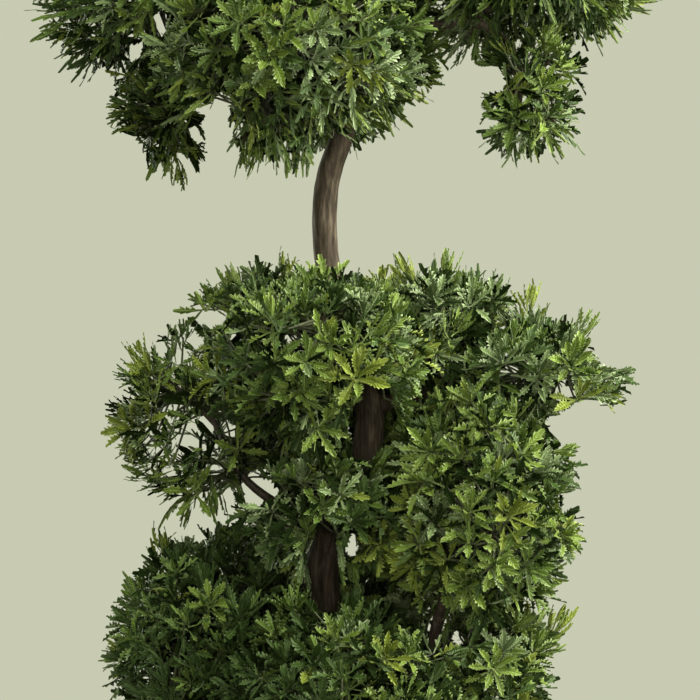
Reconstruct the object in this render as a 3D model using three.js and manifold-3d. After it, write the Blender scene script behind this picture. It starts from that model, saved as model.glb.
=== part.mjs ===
import * as THREE from 'three';
import { mergeVertices } from 'three/addons/utils/BufferGeometryUtils.js';
import Module from 'manifold-3d';

// An artificial pine bonsai in its pot, in millimetres. +Z is up, the pot stands on Z 0, and the front is -Y.
// A bent trunk carries boughs, and each bough ends where it enters a mass of foliage.

const wasm = await Module();
wasm.setup();

// Pot and its filling.
const POT_HEIGHT = 150;
const POT_FOOT_RADIUS = 76;
const POT_FOOT_ROUND = 3;
const POT_RIM_RADIUS = 104;
const POT_WALL = 9;
const POT_FLOOR = 14;
const POT_SIDES = 32;
const RIM_BAND = 20;
const RIM_STEP = 5;
const RIM_ROUND = 4;
const SOIL_TOP = 138;

// Trunk: its axis, from under the soil to the tip, has a place at each bend and between bends.
const TRUNK_AXIS = [
  [0, 0, 126], [11, -5, 184], [17, -8, 240], [-10, 6, 338], [-19, 5, 392],
  [-11, 1, 432], [13, -5, 478], [19, -6, 510], [14, -3, 544], [-4, 2, 587],
  [-15, 4, 640], [-13, 1, 690], [-1, -1, 728], [8, -4, 775], [6, -2, 818], [-4, 0, 880],
];
const TRUNK_FOOT_RADIUS = 17;
const TRUNK_WAIST_RADIUS = 9.4;
const TRUNK_WAIST_FOOT = 640;
const TRUNK_WAIST_TOP = 700;
const TRUNK_TIP_RADIUS = 4.5;
const TRUNK_SIDES = 15;
const TRUNK_STEPS = 27;
const FLARE_HEIGHT = 46;
const FLARE_GROWTH = 0.75;
const ROOTS = 5;
const ROOT_RIDGE = 0.32;
const TRUNK_OVAL = 0.05;
const TRUNK_LUMPS = 0.04;

// Limbs and the gap that touching pieces keep.
const GAP = 0.3;
const BOUGH_SIDES = 6;
const BOUGH_STEPS = 6;
const BOUGH_SHORTEST = 34;
const BOUGH_TAPER = 0.62;
const STEM_SIDES = 4;
const STEM_STEPS = 3;
const STEM_TAPER = 0.6;
const LEAF_CLEAR_OF_LIMB = 1.2;
const SPACE_MARGIN = 1;

// Sprays: a spray is a whorl of blades on a three-sided twig. Shares are of the spray's radius.
const BLADES = 5;
const BLADE_WIDTH = 0.29;
const BLADE_WIDEST = 0.62;
const BLADE_SHORTEST = 0.86;
const BLADE_SWING = 0.3;
const NOTCH = 0.27;
const NOTCH_RISE = 0.03;
const CUP_RANGE = [0.14, 0.23];
const HUB_RISE = 0.12;
const HUB_DROP = 0.09;
const TWIG_RADIUS = 1.7;
const TWIG_ROOT_RADIUS = 2.3;
const SPRAY_SCALES = [1, 0.85, 0.7];
const ROLLS_TRIED = 4;
const LEAN = 0.35;
const UPWARD = 0.25;

// Growth of a mass. Shares are of its reach.
const SPRAY_SHARE = 0.5;
const SPRAY_SMALLEST = 26;
const SPRAY_LARGEST = 50;
const SPRAY_SPACING = 1.7;
const MEAN_HUB_SHARE = 0.8;
const HUB_FURTHEST = 0.96;
const HUB_NEAREST = 0.42;
const HUB_STEP = 0.03;
const TIPS_PROUD = 1.08;
const SPRIG_SIZE = 24;
const SPRIG_PROUD = 2;
const OPEN_SHARE = 0.5;
const CORE_DENTS = 0.78;
const CORE_FROM_WALL = 0.85;
const ROOT_IN_CORE = 0.6;
const MAIN_TWIG_REACH = 0.5;
const MAIN_TWIG_RADII = [2.8, 2.2];
const MAIN_TWIG_RISE = 4;
const SPRAYS_ON_A_TWIG = 3;
const ROOT_PLACES = [0.45, 0.62, 0.8, 0.96];
const GOLDEN_TURN = Math.PI * (3 - Math.sqrt(5));

// Masses of foliage. heart is the middle, reach the half sizes, and core the size of the dark inner bulk as
// a share of reach, or 0 in an airy mass. bough gives the limb that bears the mass: where it leaves its
// bearer, as a height on the trunk or a share along another bough, its radius there, and where it passes.
// A mass without a bough has its stem straight on the trunk, from the height stem. sprigs are the ends of twigs
// that stand out of the round, with a small spray each.
const MASSES = [
  { name: 'crown_top', heart: [-4, 2, 880], reach: [154, 134, 77], core: 0.58, stem: 872 },
  { name: 'crown_left', heart: [-134, 8, 826], reach: [100, 106, 68], core: 0.58,
    bough: { from: 'trunk', at: 772, radius: 5.6, via: [[-48, 4, 800], [-92, 8, 812]] } },
  { name: 'crown_left_hang', heart: [-130, 18, 748], reach: [48, 62, 50], core: 0.52,
    sprigs: [[-127, 18, 706]],
    bough: { from: 'trunk', at: 742, radius: 4.2, via: [[-45, 14, 764], [-88, 20, 766]] } },
  { name: 'crown_front', heart: [-46, -70, 789], reach: [104, 104, 96], core: 0.6,
    bough: { from: 'trunk', at: 752, radius: 5, via: [[-2, -24, 770]] } },
  { name: 'crown_right', heart: [136, 4, 848], reach: [100, 104, 62], core: 0.58,
    sprigs: [[216, 0, 826], [86, 0, 792]],
    bough: { from: 'trunk', at: 786, radius: 6, via: [[50, -4, 805], [92, -4, 809]] } },
  { name: 'crown_right_hang', heart: [135, -12, 758], reach: [39, 56, 60], core: 0.52,
    bough: { from: 'bough_crown_right', at: 0.62, radius: 3.6, via: [[122, -8, 792]] } },
  { name: 'crown_back', heart: [-26, 88, 808], reach: [110, 102, 94], core: 0.6,
    bough: { from: 'trunk', at: 760, radius: 5.4, via: [[-2, 36, 780]] } },
  { name: 'mid_left', heart: [-100, -12, 514], reach: [81, 100, 78], core: 0,
    sprigs: [[-152, -6, 556]],
    bough: { from: 'trunk', at: 424, radius: 5.4, via: [[-46, -4, 444], [-76, -8, 468]] } },
  { name: 'mid_left_top', heart: [-58, 4, 566], reach: [68, 88, 58], core: 0.58,
    sprigs: [[-82, -4, 608], [-46, 6, 618]],
    bough: { from: 'trunk', at: 548, radius: 4.4, via: [[-18, -6, 562]] } },
  { name: 'mid_front', heart: [-20, -78, 555], reach: [90, 86, 66], core: 0.58,
    bough: { from: 'trunk', at: 560, radius: 4.2, via: [[-4, -32, 562]] } },
  { name: 'mid_right_top', heart: [70, 10, 570], reach: [80, 92, 52], core: 0.58,
    sprigs: [[48, 4, 613], [75, 10, 619], [112, 20, 603]],
    bough: { from: 'trunk', at: 562, radius: 4.2, via: [[34, 8, 566]] } },
  { name: 'mid_right', heart: [126, -4, 540], reach: [93, 98, 47], core: 0.58,
    sprigs: [[138, 4, 592], [178, 0, 578]],
    bough: { from: 'trunk', at: 520, radius: 5.6, via: [[52, -8, 528], [88, -8, 538]] } },
  { name: 'mid_right_lobe', heart: [90, -52, 446], reach: [87, 102, 102], core: 0.6,
    bough: { from: 'trunk', at: 312, radius: 6, via: [[36, -6, 322], [62, -14, 338], [69, -22, 364]] } },
  { name: 'mid_low_front', heart: [-14, -62, 448], reach: [74, 68, 52], core: 0.52,
    bough: { from: 'trunk', at: 426, radius: 4, via: [[-14, -24, 434]] } },
  { name: 'mid_back', heart: [-2, 90, 526], reach: [144, 102, 102], core: 0.6,
    bough: { from: 'trunk', at: 508, radius: 5.6, via: [[8, 36, 520]] } },
  { name: 'low_left', heart: [-92, -10, 334], reach: [88, 108, 98], core: 0.6,
    sprigs: [[-136, -4, 411], [-152, -6, 376]],
    bough: { from: 'trunk', at: 268, radius: 6, via: [[-30, -6, 288]] } },
  { name: 'low_front', heart: [-4, -84, 306], reach: [106, 94, 90], core: 0.6,
    bough: { from: 'trunk', at: 250, radius: 5.4, via: [[6, -38, 274]] } },
  { name: 'low_right', heart: [84, -20, 318], reach: [71, 104, 88], core: 0.58,
    sprigs: [[155, -16, 354]],
    bough: { from: 'trunk', at: 236, radius: 5.8, via: [[54, -14, 262]] } },
  { name: 'low_back', heart: [0, 94, 340], reach: [140, 100, 108], core: 0.6,
    bough: { from: 'trunk', at: 276, radius: 5.8, via: [[2, 38, 294]] } },
];

const BARK = new THREE.MeshStandardMaterial({ color: 0x5d4636, roughness: 0.85, metalness: 0 });
const FOLIAGE = new THREE.MeshStandardMaterial({ color: 0x3f6423, roughness: 0.5, metalness: 0 });
const POT_CLAY = new THREE.MeshStandardMaterial({ color: 0x4a4541, roughness: 0.7, metalness: 0 });
const SOIL = new THREE.MeshStandardMaterial({ color: 0x3a2c22, roughness: 1, metalness: 0 });

const point = (p) => new THREE.Vector3(...p);
const curveThrough = (points) => new THREE.CatmullRomCurve3(points, false, 'centripetal');
const mix = THREE.MathUtils.lerp;
const ease = THREE.MathUtils.smoothstep;

// A repeatable stream of numbers from 0 to 1.
function stream(seed) {
  let state = seed >>> 0;
  return () => {
    state = (state + 0x6d2b79f5) >>> 0;
    let t = Math.imul(state ^ (state >>> 15), state | 1);
    t ^= t + Math.imul(t ^ (t >>> 7), t | 61);
    return ((t ^ (t >>> 14)) >>> 0) / 4294967296;
  };
}

// A closed geometry as a solid, and a solid back as a geometry.
function toSolid(geometry) {
  const bare = geometry.clone();
  bare.deleteAttribute('normal');
  bare.deleteAttribute('uv');
  const merged = mergeVertices(bare, 1e-3);
  const index = merged.index.array;
  const triVerts = [];
  for (let i = 0; i < index.length; i += 3) {
    const [a, b, c] = [index[i], index[i + 1], index[i + 2]];
    if (a !== b && b !== c && c !== a) triVerts.push(a, b, c);
  }
  return new wasm.Manifold(new wasm.Mesh({
    numProp: 3,
    vertProperties: new Float32Array(merged.attributes.position.array),
    triVerts: new Uint32Array(triVerts),
  }));
}

function toGeometry(solid) {
  const mesh = solid.getMesh();
  const geometry = new THREE.BufferGeometry();
  geometry.setAttribute('position', new THREE.BufferAttribute(new Float32Array(mesh.vertProperties), 3));
  geometry.setIndex(new THREE.BufferAttribute(new Uint32Array(mesh.triVerts), 1));
  geometry.computeVertexNormals();
  return geometry;
}

// The largest body of a solid: loose scraps are dropped and sealed hollows filled.
function largestBody(solid) {
  return solid.decompose().reduce((best, body) => (body.volume() > best.volume() ? body : best));
}

function meshFrom(positions, faces) {
  const geometry = new THREE.BufferGeometry();
  geometry.setAttribute('position', new THREE.Float32BufferAttribute(positions, 3));
  geometry.setIndex(faces);
  return geometry;
}

// Faces between rings of points that follow each other, each of the same number of sides.
function skinRings(first, rings, sides, faces) {
  for (let ring = 0; ring < rings - 1; ring++) {
    for (let j = 0; j < sides; j++) {
      const a = first + ring * sides + j;
      const b = first + ring * sides + ((j + 1) % sides);
      faces.push(a, b, b + sides, a, b + sides, a + sides);
    }
  }
}

function capRing(first, sides, facesBack, faces) {
  for (let j = 1; j < sides - 1; j++) {
    if (facesBack) faces.push(first, first + j + 1, first + j);
    else faces.push(first, first + j, first + j + 1);
  }
}

// A closed limb round a curve, whose radius is a function of the share along it and the turn round it.
function limb(curve, steps, sides, radiusAt) {
  const frames = curve.computeFrenetFrames(steps, false);
  const positions = [];
  const faces = [];
  for (let i = 0; i <= steps; i++) {
    const centre = curve.getPointAt(i / steps);
    for (let j = 0; j < sides; j++) {
      const turn = (2 * Math.PI * j) / sides;
      const radius = radiusAt(i / steps, turn);
      const rim = centre.clone()
        .addScaledVector(frames.normals[i], radius * Math.cos(turn))
        .addScaledVector(frames.binormals[i], radius * Math.sin(turn));
      positions.push(...rim.toArray());
    }
  }
  skinRings(0, steps + 1, sides, faces);
  capRing(0, sides, true, faces);
  capRing(steps * sides, sides, false, faces);
  return meshFrom(positions, faces);
}

// The stretch of a curve from one share of its length to another, as a curve of its own.
function stretch(curve, from, to) {
  const pieces = 8;
  const points = [];
  for (let i = 0; i <= pieces; i++) points.push(curve.getPointAt(mix(from, to, i / pieces)));
  return curveThrough(points);
}

// Pot: a lathe profile up the outside, over the rounded rim and down the inside.
const potOuterRadius = (z) => mix(POT_FOOT_RADIUS, POT_RIM_RADIUS - RIM_STEP, z / POT_HEIGHT);
const potInnerRadius = (z) => potOuterRadius(z) - POT_WALL;

function pot() {
  const bandFoot = POT_HEIGHT - RIM_BAND;
  return turned([
    [0, 0], [POT_FOOT_RADIUS - POT_FOOT_ROUND, 0], [POT_FOOT_RADIUS, POT_FOOT_ROUND],
    [potOuterRadius(bandFoot), bandFoot], [POT_RIM_RADIUS, bandFoot + RIM_ROUND / 2],
    [POT_RIM_RADIUS, POT_HEIGHT - RIM_ROUND], [POT_RIM_RADIUS - RIM_ROUND, POT_HEIGHT],
    [potInnerRadius(POT_HEIGHT) + RIM_ROUND, POT_HEIGHT],
    [potInnerRadius(POT_HEIGHT - RIM_ROUND), POT_HEIGHT - RIM_ROUND],
    [potInnerRadius(POT_FLOOR), POT_FLOOR], [0, POT_FLOOR],
  ]);
}

function soil() {
  return turned([
    [0, POT_FLOOR], [potInnerRadius(POT_FLOOR) - GAP, POT_FLOOR],
    [potInnerRadius(SOIL_TOP) - GAP, SOIL_TOP], [0, SOIL_TOP],
  ]);
}

function turned(profile) {
  const points = profile.map(([radius, height]) => new THREE.Vector2(radius, height));
  return toSolid(new THREE.LatheGeometry(points, POT_SIDES).rotateX(Math.PI / 2));
}

// Trunk: tapering, with root ridges at its foot, cut flat where it stands on the soil.
const trunkCurve = curveThrough(TRUNK_AXIS.map(point));

function trunkRadius(share, turn, extra) {
  const { z } = trunkCurve.getPointAt(share);
  const tip = TRUNK_AXIS.at(-1)[2];
  const waist = mix(TRUNK_FOOT_RADIUS, TRUNK_WAIST_RADIUS, ease(z, SOIL_TOP, TRUNK_WAIST_FOOT));
  const taper = mix(waist, TRUNK_TIP_RADIUS, Math.max(0, (z - TRUNK_WAIST_TOP) / (tip - TRUNK_WAIST_TOP)));
  const flare = Math.max(0, 1 - (z - SOIL_TOP) / FLARE_HEIGHT) ** 2;
  const ridge = flare * ROOT_RIDGE * Math.cos(ROOTS * turn);
  const grain = TRUNK_OVAL * Math.cos(2 * turn + 9 * share) + TRUNK_LUMPS * Math.cos(3 * turn - 14 * share);
  return taper * (1 + FLARE_GROWTH * flare + ridge + grain) + extra;
}

function trunk(extra = 0) {
  const shape = limb(trunkCurve, TRUNK_STEPS, TRUNK_SIDES, (s, turn) => trunkRadius(s, turn, extra));
  const below = new THREE.BoxGeometry(200, 200, 100).translate(0, 0, SOIL_TOP - extra - 50);
  return largestBody(toSolid(shape).subtract(toSolid(below)));
}

// The space of a mass: its ellipsoid, cut by a plane towards each other mass, so that no two spaces meet.
function radiusTowards(mass, direction) {
  const scaled = direction.clone().divide(mass.reachVector);
  return 1 / scaled.length();
}

function prepareSpaces() {
  for (const mass of MASSES) {
    mass.centre = point(mass.heart);
    mass.reachVector = point(mass.reach);
  }
  for (const mass of MASSES) {
    mass.walls = MASSES.filter((other) => other !== mass).map((other) => {
      const normal = other.centre.clone().sub(mass.centre);
      const distance = normal.length();
      normal.normalize();
      const own = radiusTowards(mass, normal);
      const share = own / (own + radiusTowards(other, normal));
      return { normal, limit: normal.dot(mass.centre) + distance * share - SPACE_MARGIN };
    });
  }
}

function inSpace(mass, p, proud = 1) {
  const round = p.clone().sub(mass.centre).divide(mass.reachVector).length() <= proud;
  return round && mass.walls.every((wall) => wall.normal.dot(p) <= wall.limit);
}

// How far the space reaches from the mass's heart in a direction.
function spaceReach(mass, direction) {
  return mass.walls.reduce((least, wall) => {
    const slope = wall.normal.dot(direction);
    return slope > 1e-6 ? Math.min(least, (wall.limit - wall.normal.dot(mass.centre)) / slope) : least;
  }, radiusTowards(mass, direction));
}

// Boughs: each is cut clear of its bearer and ends where it enters its mass.
function planBoughs() {
  const plans = new Map([['trunk', { curve: trunkCurve }]]);
  for (const mass of MASSES.filter((m) => m.bough)) {
    const { from, at, radius, via } = mass.bough;
    const bearer = plans.get(from).curve;
    const start = from === 'trunk' ? trunkPointAt(at) : bearer.getPointAt(at);
    const curve = curveThrough([start, ...via.map(point), mass.centre]);
    let enters = BOUGH_SHORTEST / curve.getLength();
    while (enters < 0.9 && !inSpace(mass, curve.getPointAt(enters))) enters += 0.01;
    plans.set('bough_' + mass.name, { curve, radius, enters });
  }
  plans.delete('trunk');
  return plans;
}

function trunkPointAt(height) {
  let [low, high] = [0, 1];
  for (let i = 0; i < 30; i++) {
    const middle = (low + high) / 2;
    if (trunkCurve.getPointAt(middle).z < height) low = middle;
    else high = middle;
  }
  return trunkCurve.getPointAt(low);
}

const boughRadius = (plan, share) => plan.radius * mix(1, BOUGH_TAPER, share / plan.enters);

function bough(plan, extra = 0) {
  const reach = plan.enters + extra / plan.curve.getLength();
  const curve = stretch(plan.curve, 0, Math.min(1, reach));
  return toSolid(limb(curve, BOUGH_STEPS, BOUGH_SIDES, (s) => boughRadius(plan, s * plan.enters) + extra));
}

// A spray: a three-sided twig along rings, whose last ring opens into a whorl of blades.
function spray(path, facing, size, roll, random) {
  const across = new THREE.Vector3(1, 0, 0);
  if (Math.abs(facing.x) > 0.8) across.set(0, 1, 0);
  across.cross(facing).normalize().applyAxisAngle(facing, roll);
  const along = facing.clone().cross(across);
  const hub = path.at(-1);
  const place = (radius, turn, rise) => hub.clone()
    .addScaledVector(across, radius * Math.cos(turn))
    .addScaledVector(along, radius * Math.sin(turn))
    .addScaledVector(facing, rise);
  const positions = [];
  const faces = [];
  const put = (p) => positions.push(p.x, p.y, p.z) / 3 - 1;

  // Twig rings, from the root to just under the hub.
  path.forEach((centre, i) => {
    const last = i === path.length - 1;
    const shift = centre.clone().sub(hub);
    const radius = mix(TWIG_ROOT_RADIUS, TWIG_RADIUS, i / Math.max(1, path.length - 1));
    for (let j = 0; j < 3; j++) {
      put(place(radius, (2 * Math.PI * j) / 3, last ? -HUB_DROP * size : 0).add(shift));
    }
  });
  skinRings(0, path.length, 3, faces);
  capRing(0, 3, true, faces);
  const collar = (path.length - 1) * 3;

  // Blades: notch, widest place, tip, widest place, and round again.
  const top = put(place(0, 0, HUB_RISE * size));
  const outline = [];
  for (let k = 0; k < BLADES; k++) {
    const turn = ((k + BLADE_SWING * (random() - 0.5)) * 2 * Math.PI) / BLADES;
    const length = size * mix(BLADE_SHORTEST, 1, random());
    const lift = mix(...CUP_RANGE, random());
    const wide = Math.atan(BLADE_WIDTH / BLADE_WIDEST);
    const widest = BLADE_WIDEST * length;
    outline.push({
      notch: put(place(NOTCH * size, ((k - 0.5) * 2 * Math.PI) / BLADES, NOTCH_RISE * size)),
      right: put(place(widest, turn - wide, lift * widest)),
      tip: put(place(length, turn, lift * length)),
      left: put(place(widest, turn + wide, lift * widest)),
    });
  }
  const under = [];
  outline.forEach((blade, k) => {
    const { notch: next } = outline[(k + 1) % BLADES];
    const { notch, right, tip, left } = blade;
    faces.push(top, notch, right, top, right, tip, top, tip, left, top, left, next);
    faces.push(notch, tip, right, tip, next, left);
    under.push({ id: notch, turn: (k - 0.5) / BLADES }, { id: tip, turn: k / BLADES });
  });

  // Underside: the ring of notches and tips is zipped to the three corners of the twig.
  const nearest = (turn) => ((Math.round(turn * 3) % 3) + 3) % 3;
  under.forEach((from, i) => {
    const to = under[(i + 1) % under.length];
    const [a, b] = [nearest(from.turn), nearest(to.turn + (i + 1 === under.length ? 1 : 0))];
    faces.push(from.id, collar + a, to.id);
    if (a !== b) faces.push(to.id, collar + a, collar + b);
  });
  return toSolid(meshFrom(positions, faces));
}

// The inner bulk of a dense mass, kept inside its space and clear of the limbs.
function core(mass, limbs, random) {
  const ball = mergeVertices(bareBall());
  const position = ball.attributes.position;
  const direction = new THREE.Vector3();
  for (let i = 0; i < position.count; i++) {
    direction.fromBufferAttribute(position, i).normalize();
    const free = radiusTowards(mass, direction) * mass.core;
    const full = Math.min(free, spaceReach(mass, direction) * CORE_FROM_WALL);
    const p = mass.centre.clone().addScaledVector(direction, full * mix(CORE_DENTS, 1, random()));
    position.setXYZ(i, p.x, p.y, p.z);
  }
  return largestBody(toSolid(ball).subtract(limbs));
}

function bareBall() {
  const ball = new THREE.IcosahedronGeometry(1, 1);
  ball.deleteAttribute('normal');
  ball.deleteAttribute('uv');
  return ball;
}

// A mass of foliage: one stem, twigs that branch from it, and a spray at the end of each twig.
function foliage(mass, stemCurve, stemRadius, limbs, seed) {
  const random = stream(seed);
  const meanReach = Math.cbrt(mass.reach[0] * mass.reach[1] * mass.reach[2]);
  const size = THREE.MathUtils.clamp(SPRAY_SHARE * meanReach, SPRAY_SMALLEST, SPRAY_LARGEST);
  const stem = toSolid(limb(stemCurve, STEM_STEPS, STEM_SIDES, (s) => stemRadius * mix(1, STEM_TAPER, s)));
  const pieces = [stem.subtract(limbs.near)];
  if (mass.core) pieces.push(core(mass, limbs.wide, random));

  const tries = Math.round(4 * Math.PI * (MEAN_HUB_SHARE * meanReach / (SPRAY_SPACING * size)) ** 2);
  const rootOf = mass.core
    ? (hub) => mass.centre.clone().lerp(hub, (ROOT_IN_CORE * mass.core) / hubShare(mass, hub))
    : rootsOnTwigs(mainTwigs(mass, tries, stemCurve, limbs.wide, random, pieces));
  const inner = wasm.Manifold.union(pieces);
  const placed = [];
  const directions = spreadDirections(tries, random() * 2 * Math.PI);
  for (const sprig of mass.sprigs ?? []) {
    const end = point(sprig);
    const direction = end.clone().sub(mass.centre).normalize();
    const aim = { direction, size: SPRIG_SIZE, furthest: hubShare(mass, end), proud: SPRIG_PROUD };
    placeSpray(mass, aim, rootOf, inner, limbs.wide, placed, random);
  }
  for (const direction of directions) {
    const open = spaceReach(mass, direction) / radiusTowards(mass, direction);
    const aim = { direction, size, furthest: HUB_FURTHEST, proud: TIPS_PROUD };
    if (open >= OPEN_SHARE) placeSpray(mass, aim, rootOf, inner, limbs.wide, placed, random);
  }
  const sprays = placed.map((spray) => spray.made);
  return largestBody(wasm.Manifold.union([inner, ...sprays]));
}

// Directions spread evenly over a ball, or over the band between two heights on it.
function spreadDirections(count, spin, top = 1, bottom = -1) {
  return Array.from({ length: count }, (_, k) => {
    const height = mix(top, bottom, (k + 0.5) / count);
    const ring = Math.sqrt(1 - height * height);
    const turn = spin + k * GOLDEN_TURN;
    return new THREE.Vector3(ring * Math.cos(turn), ring * Math.sin(turn), height);
  });
}

// Main twigs run from the stem towards evenly spread directions, and later twigs root on them.
function mainTwigs(mass, tries, stemCurve, limbs, random, pieces) {
  const branches = [stemCurve];
  const count = Math.max(3, Math.round(tries / SPRAYS_ON_A_TWIG));
  for (const direction of spreadDirections(count, random() * 2 * Math.PI, 0.75, -0.45)) {
    const end = mass.centre.clone().addScaledVector(direction, MAIN_TWIG_REACH * spaceReach(mass, direction));
    const root = stemCurve.getPointAt(mix(0.35, 0.95, random()));
    const bend = root.clone().lerp(end, 0.5).add(new THREE.Vector3(0, 0, MAIN_TWIG_RISE));
    const curve = curveThrough([root, bend, end]);
    const twig = toSolid(limb(curve, 2, 3, (s) => mix(...MAIN_TWIG_RADII, s)));
    if (!twig.intersect(limbs).isEmpty()) continue;
    branches.push(curve);
    pieces.push(twig);
  }
  return branches;
}

// How far out a point lies, as a share of the mass's reach in its direction.
function hubShare(mass, p) {
  return p.clone().sub(mass.centre).divide(mass.reachVector).length();
}

// Gives each new twig the nearest free place on the branches.
function rootsOnTwigs(branches) {
  const places = branches.flatMap((branch) => ROOT_PLACES.map((share) => branch.getPointAt(share)));
  return (hub, keep) => {
    const nearest = places.reduce((best, p) => (p.distanceTo(hub) < best.distanceTo(hub) ? p : best));
    if (keep) places.splice(places.indexOf(nearest), 1);
    return nearest;
  };
}

// Places one spray as far out in its direction as it is aimed and the space allows, unless it can't be clear
// there. The tips of its blades may stand proud of the mass's round by the share given.
function placeSpray(mass, aim, rootOf, inner, limbs, placed, random) {
  const { direction, size } = aim;
  const lean = new THREE.Vector3(random() - 0.5, random() - 0.5, random() - 0.5).multiplyScalar(LEAN);
  const facing = direction.clone().divide(mass.reachVector).normalize().add(lean);
  facing.z += UPWARD;
  facing.normalize();
  const seed = Math.floor(random() * 1e9);
  for (const scale of SPRAY_SCALES) {
    for (let attempt = 0; attempt < ROLLS_TRIED; attempt++) {
      const roll = ((attempt + random()) * 2 * Math.PI) / (ROLLS_TRIED * BLADES);
      const hub = furthestHub(mass, aim, facing, size * scale, roll, seed);
      if (!hub) continue;
      const whorl = spray([hub], facing, size * scale, roll, stream(seed));
      if (meets(whorl, inner)) continue;
      const made = spray([rootOf(hub), hub], facing, size * scale, roll, stream(seed));
      if (meets(made, limbs)) continue;
      if (placed.some((other) => meets(made, other.whorl) || meets(whorl, other.made))) continue;
      placed.push({ whorl, made });
      rootOf(hub, true);
      return;
    }
  }
}

const meets = (a, b) => !a.intersect(b).isEmpty();

function furthestHub(mass, { direction, furthest, proud }, facing, size, roll, seed) {
  const far = radiusTowards(mass, direction);
  for (let share = furthest; share >= HUB_NEAREST; share -= HUB_STEP) {
    const hub = mass.centre.clone().addScaledVector(direction, far * share);
    const corners = spray([hub], facing, size, roll, stream(seed)).getMesh();
    const p = new THREE.Vector3();
    let fits = true;
    for (let i = 0; i < corners.numVert && fits; i++) {
      fits = inSpace(mass, p.fromArray(corners.vertProperties, i * 3), proud);
    }
    if (fits) return hub;
  }
  return null;
}

// Assembly.
const bonsai = new THREE.Group();
bonsai.name = 'pine_bonsai';

function add(name, solid, material) {
  const mesh = new THREE.Mesh(toGeometry(solid), material);
  mesh.name = name;
  bonsai.add(mesh);
}

prepareSpaces();
add('pot', pot(), POT_CLAY);
add('soil', soil(), SOIL);
add('trunk', trunk(), BARK);

const plans = planBoughs();
const clearLimbs = [trunk(GAP)];
const wideLimbs = [trunk(LEAF_CLEAR_OF_LIMB)];
for (const [name, plan] of plans) {
  const bearers = wasm.Manifold.union(clearLimbs);
  add(name, largestBody(bough(plan).subtract(bearers)), BARK);
  clearLimbs.push(bough(plan, GAP));
  wideLimbs.push(bough(plan, LEAF_CLEAR_OF_LIMB));
}
const limbs = { near: wasm.Manifold.union(clearLimbs), wide: wasm.Manifold.union(wideLimbs) };

MASSES.forEach((mass, i) => {
  const plan = plans.get('bough_' + mass.name);
  let stemCurve;
  let stemRadius;
  if (plan) {
    const start = plan.enters + GAP / plan.curve.getLength();
    stemCurve = stretch(plan.curve, start, 1);
    stemRadius = boughRadius(plan, plan.enters);
  } else {
    stemCurve = curveThrough([trunkPointAt(mass.stem), mass.centre]);
    stemRadius = TRUNK_TIP_RADIUS;
  }
  const solid = foliage(mass, stemCurve, stemRadius, limbs, 1000 + 77 * i);
  add(mass.name, solid, FOLIAGE);
});

export default bonsai;
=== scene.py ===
import itertools
import math

import bpy
import numpy as np
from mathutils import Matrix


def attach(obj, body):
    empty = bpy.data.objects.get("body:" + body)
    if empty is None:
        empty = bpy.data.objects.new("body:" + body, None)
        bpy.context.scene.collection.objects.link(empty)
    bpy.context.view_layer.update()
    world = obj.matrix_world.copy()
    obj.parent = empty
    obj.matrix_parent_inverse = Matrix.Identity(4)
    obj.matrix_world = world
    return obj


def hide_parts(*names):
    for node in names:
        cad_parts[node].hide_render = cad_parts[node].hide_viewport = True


# The dressed model of an artificial pine bonsai in its pot. Sizes are in millimetres until a mesh is made.
# +Z is up, the pot stands on Z 0, the front is -Y and +X is to the right in the photograph.

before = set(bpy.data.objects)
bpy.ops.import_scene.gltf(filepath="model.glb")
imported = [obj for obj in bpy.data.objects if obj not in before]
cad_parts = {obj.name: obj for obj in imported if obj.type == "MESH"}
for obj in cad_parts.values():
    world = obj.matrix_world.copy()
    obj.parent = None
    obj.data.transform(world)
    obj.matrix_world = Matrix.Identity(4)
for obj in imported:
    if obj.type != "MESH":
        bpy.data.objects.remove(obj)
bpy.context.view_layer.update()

MM = 0.001

# Camera: level, at the photograph's view, 0.75 mm a pixel in the plane of the trunk.
CAMERA_PLACE = (3.75, -1800.0, 562.5)
CAMERA_SENSOR = 36.0
PICTURE_WIDTH = 525.0

# Pot and its filling, as in the solids.
POT_HEIGHT = 150.0
POT_FOOT_RADIUS = 76.0
POT_FOOT_ROUND = 3.0
POT_RIM_RADIUS = 104.0
POT_WALL = 9.0
RIM_BAND = 20.0
RIM_STEP = 5.0
RIM_ROUND = 4.0
RIM_UNDER_ROUND = 1.6
POT_SIDES = 160
SOIL_TOP = 138.0
GAP = 0.3

# The soil's surface: rings, sides, and lumps by size across and height. Loose crumbs lie on it.
SOIL_RINGS = 44
SOIL_SIDES = 150
SOIL_LUMPS = ((19, 1.3), (6, 0.9), (2.6, 0.5))
SOIL_SKIRT = 10
CRUMBS = 1500
CRUMBS_FROM_EDGE = 4
CRUMB_RADII = (0.9, 2.6)
CRUMB_UNEVEN = (0.75, 1.2)
CRUMB_FLATNESS = 0.75
CRUMB_RISE = 0.4
BIG_CRUMB_SHARE = 0.1
BIG_CRUMB_GROWTH = 1.5

# Trunk, as in the solids.
TRUNK_AXIS = [
    (0, 0, 126), (11, -5, 184), (17, -8, 240), (-10, 6, 338), (-19, 5, 392),
    (-11, 1, 432), (13, -5, 478), (19, -6, 510), (14, -3, 544), (-4, 2, 587),
    (-15, 4, 640), (-13, 1, 690), (-1, -1, 728), (8, -4, 775), (6, -2, 818), (-4, 0, 880),
]
TRUNK_FOOT_RADIUS = 17.0
TRUNK_WAIST_RADIUS = 9.4
TRUNK_WAIST_FOOT = 640.0
TRUNK_WAIST_TOP = 700.0
TRUNK_TIP_RADIUS = 4.5
FLARE_HEIGHT = 46.0
FLARE_GROWTH = 0.75
ROOTS = 5
ROOT_RIDGE = 0.32
TRUNK_OVAL = 0.05
TRUNK_LUMPS = 0.04

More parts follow.
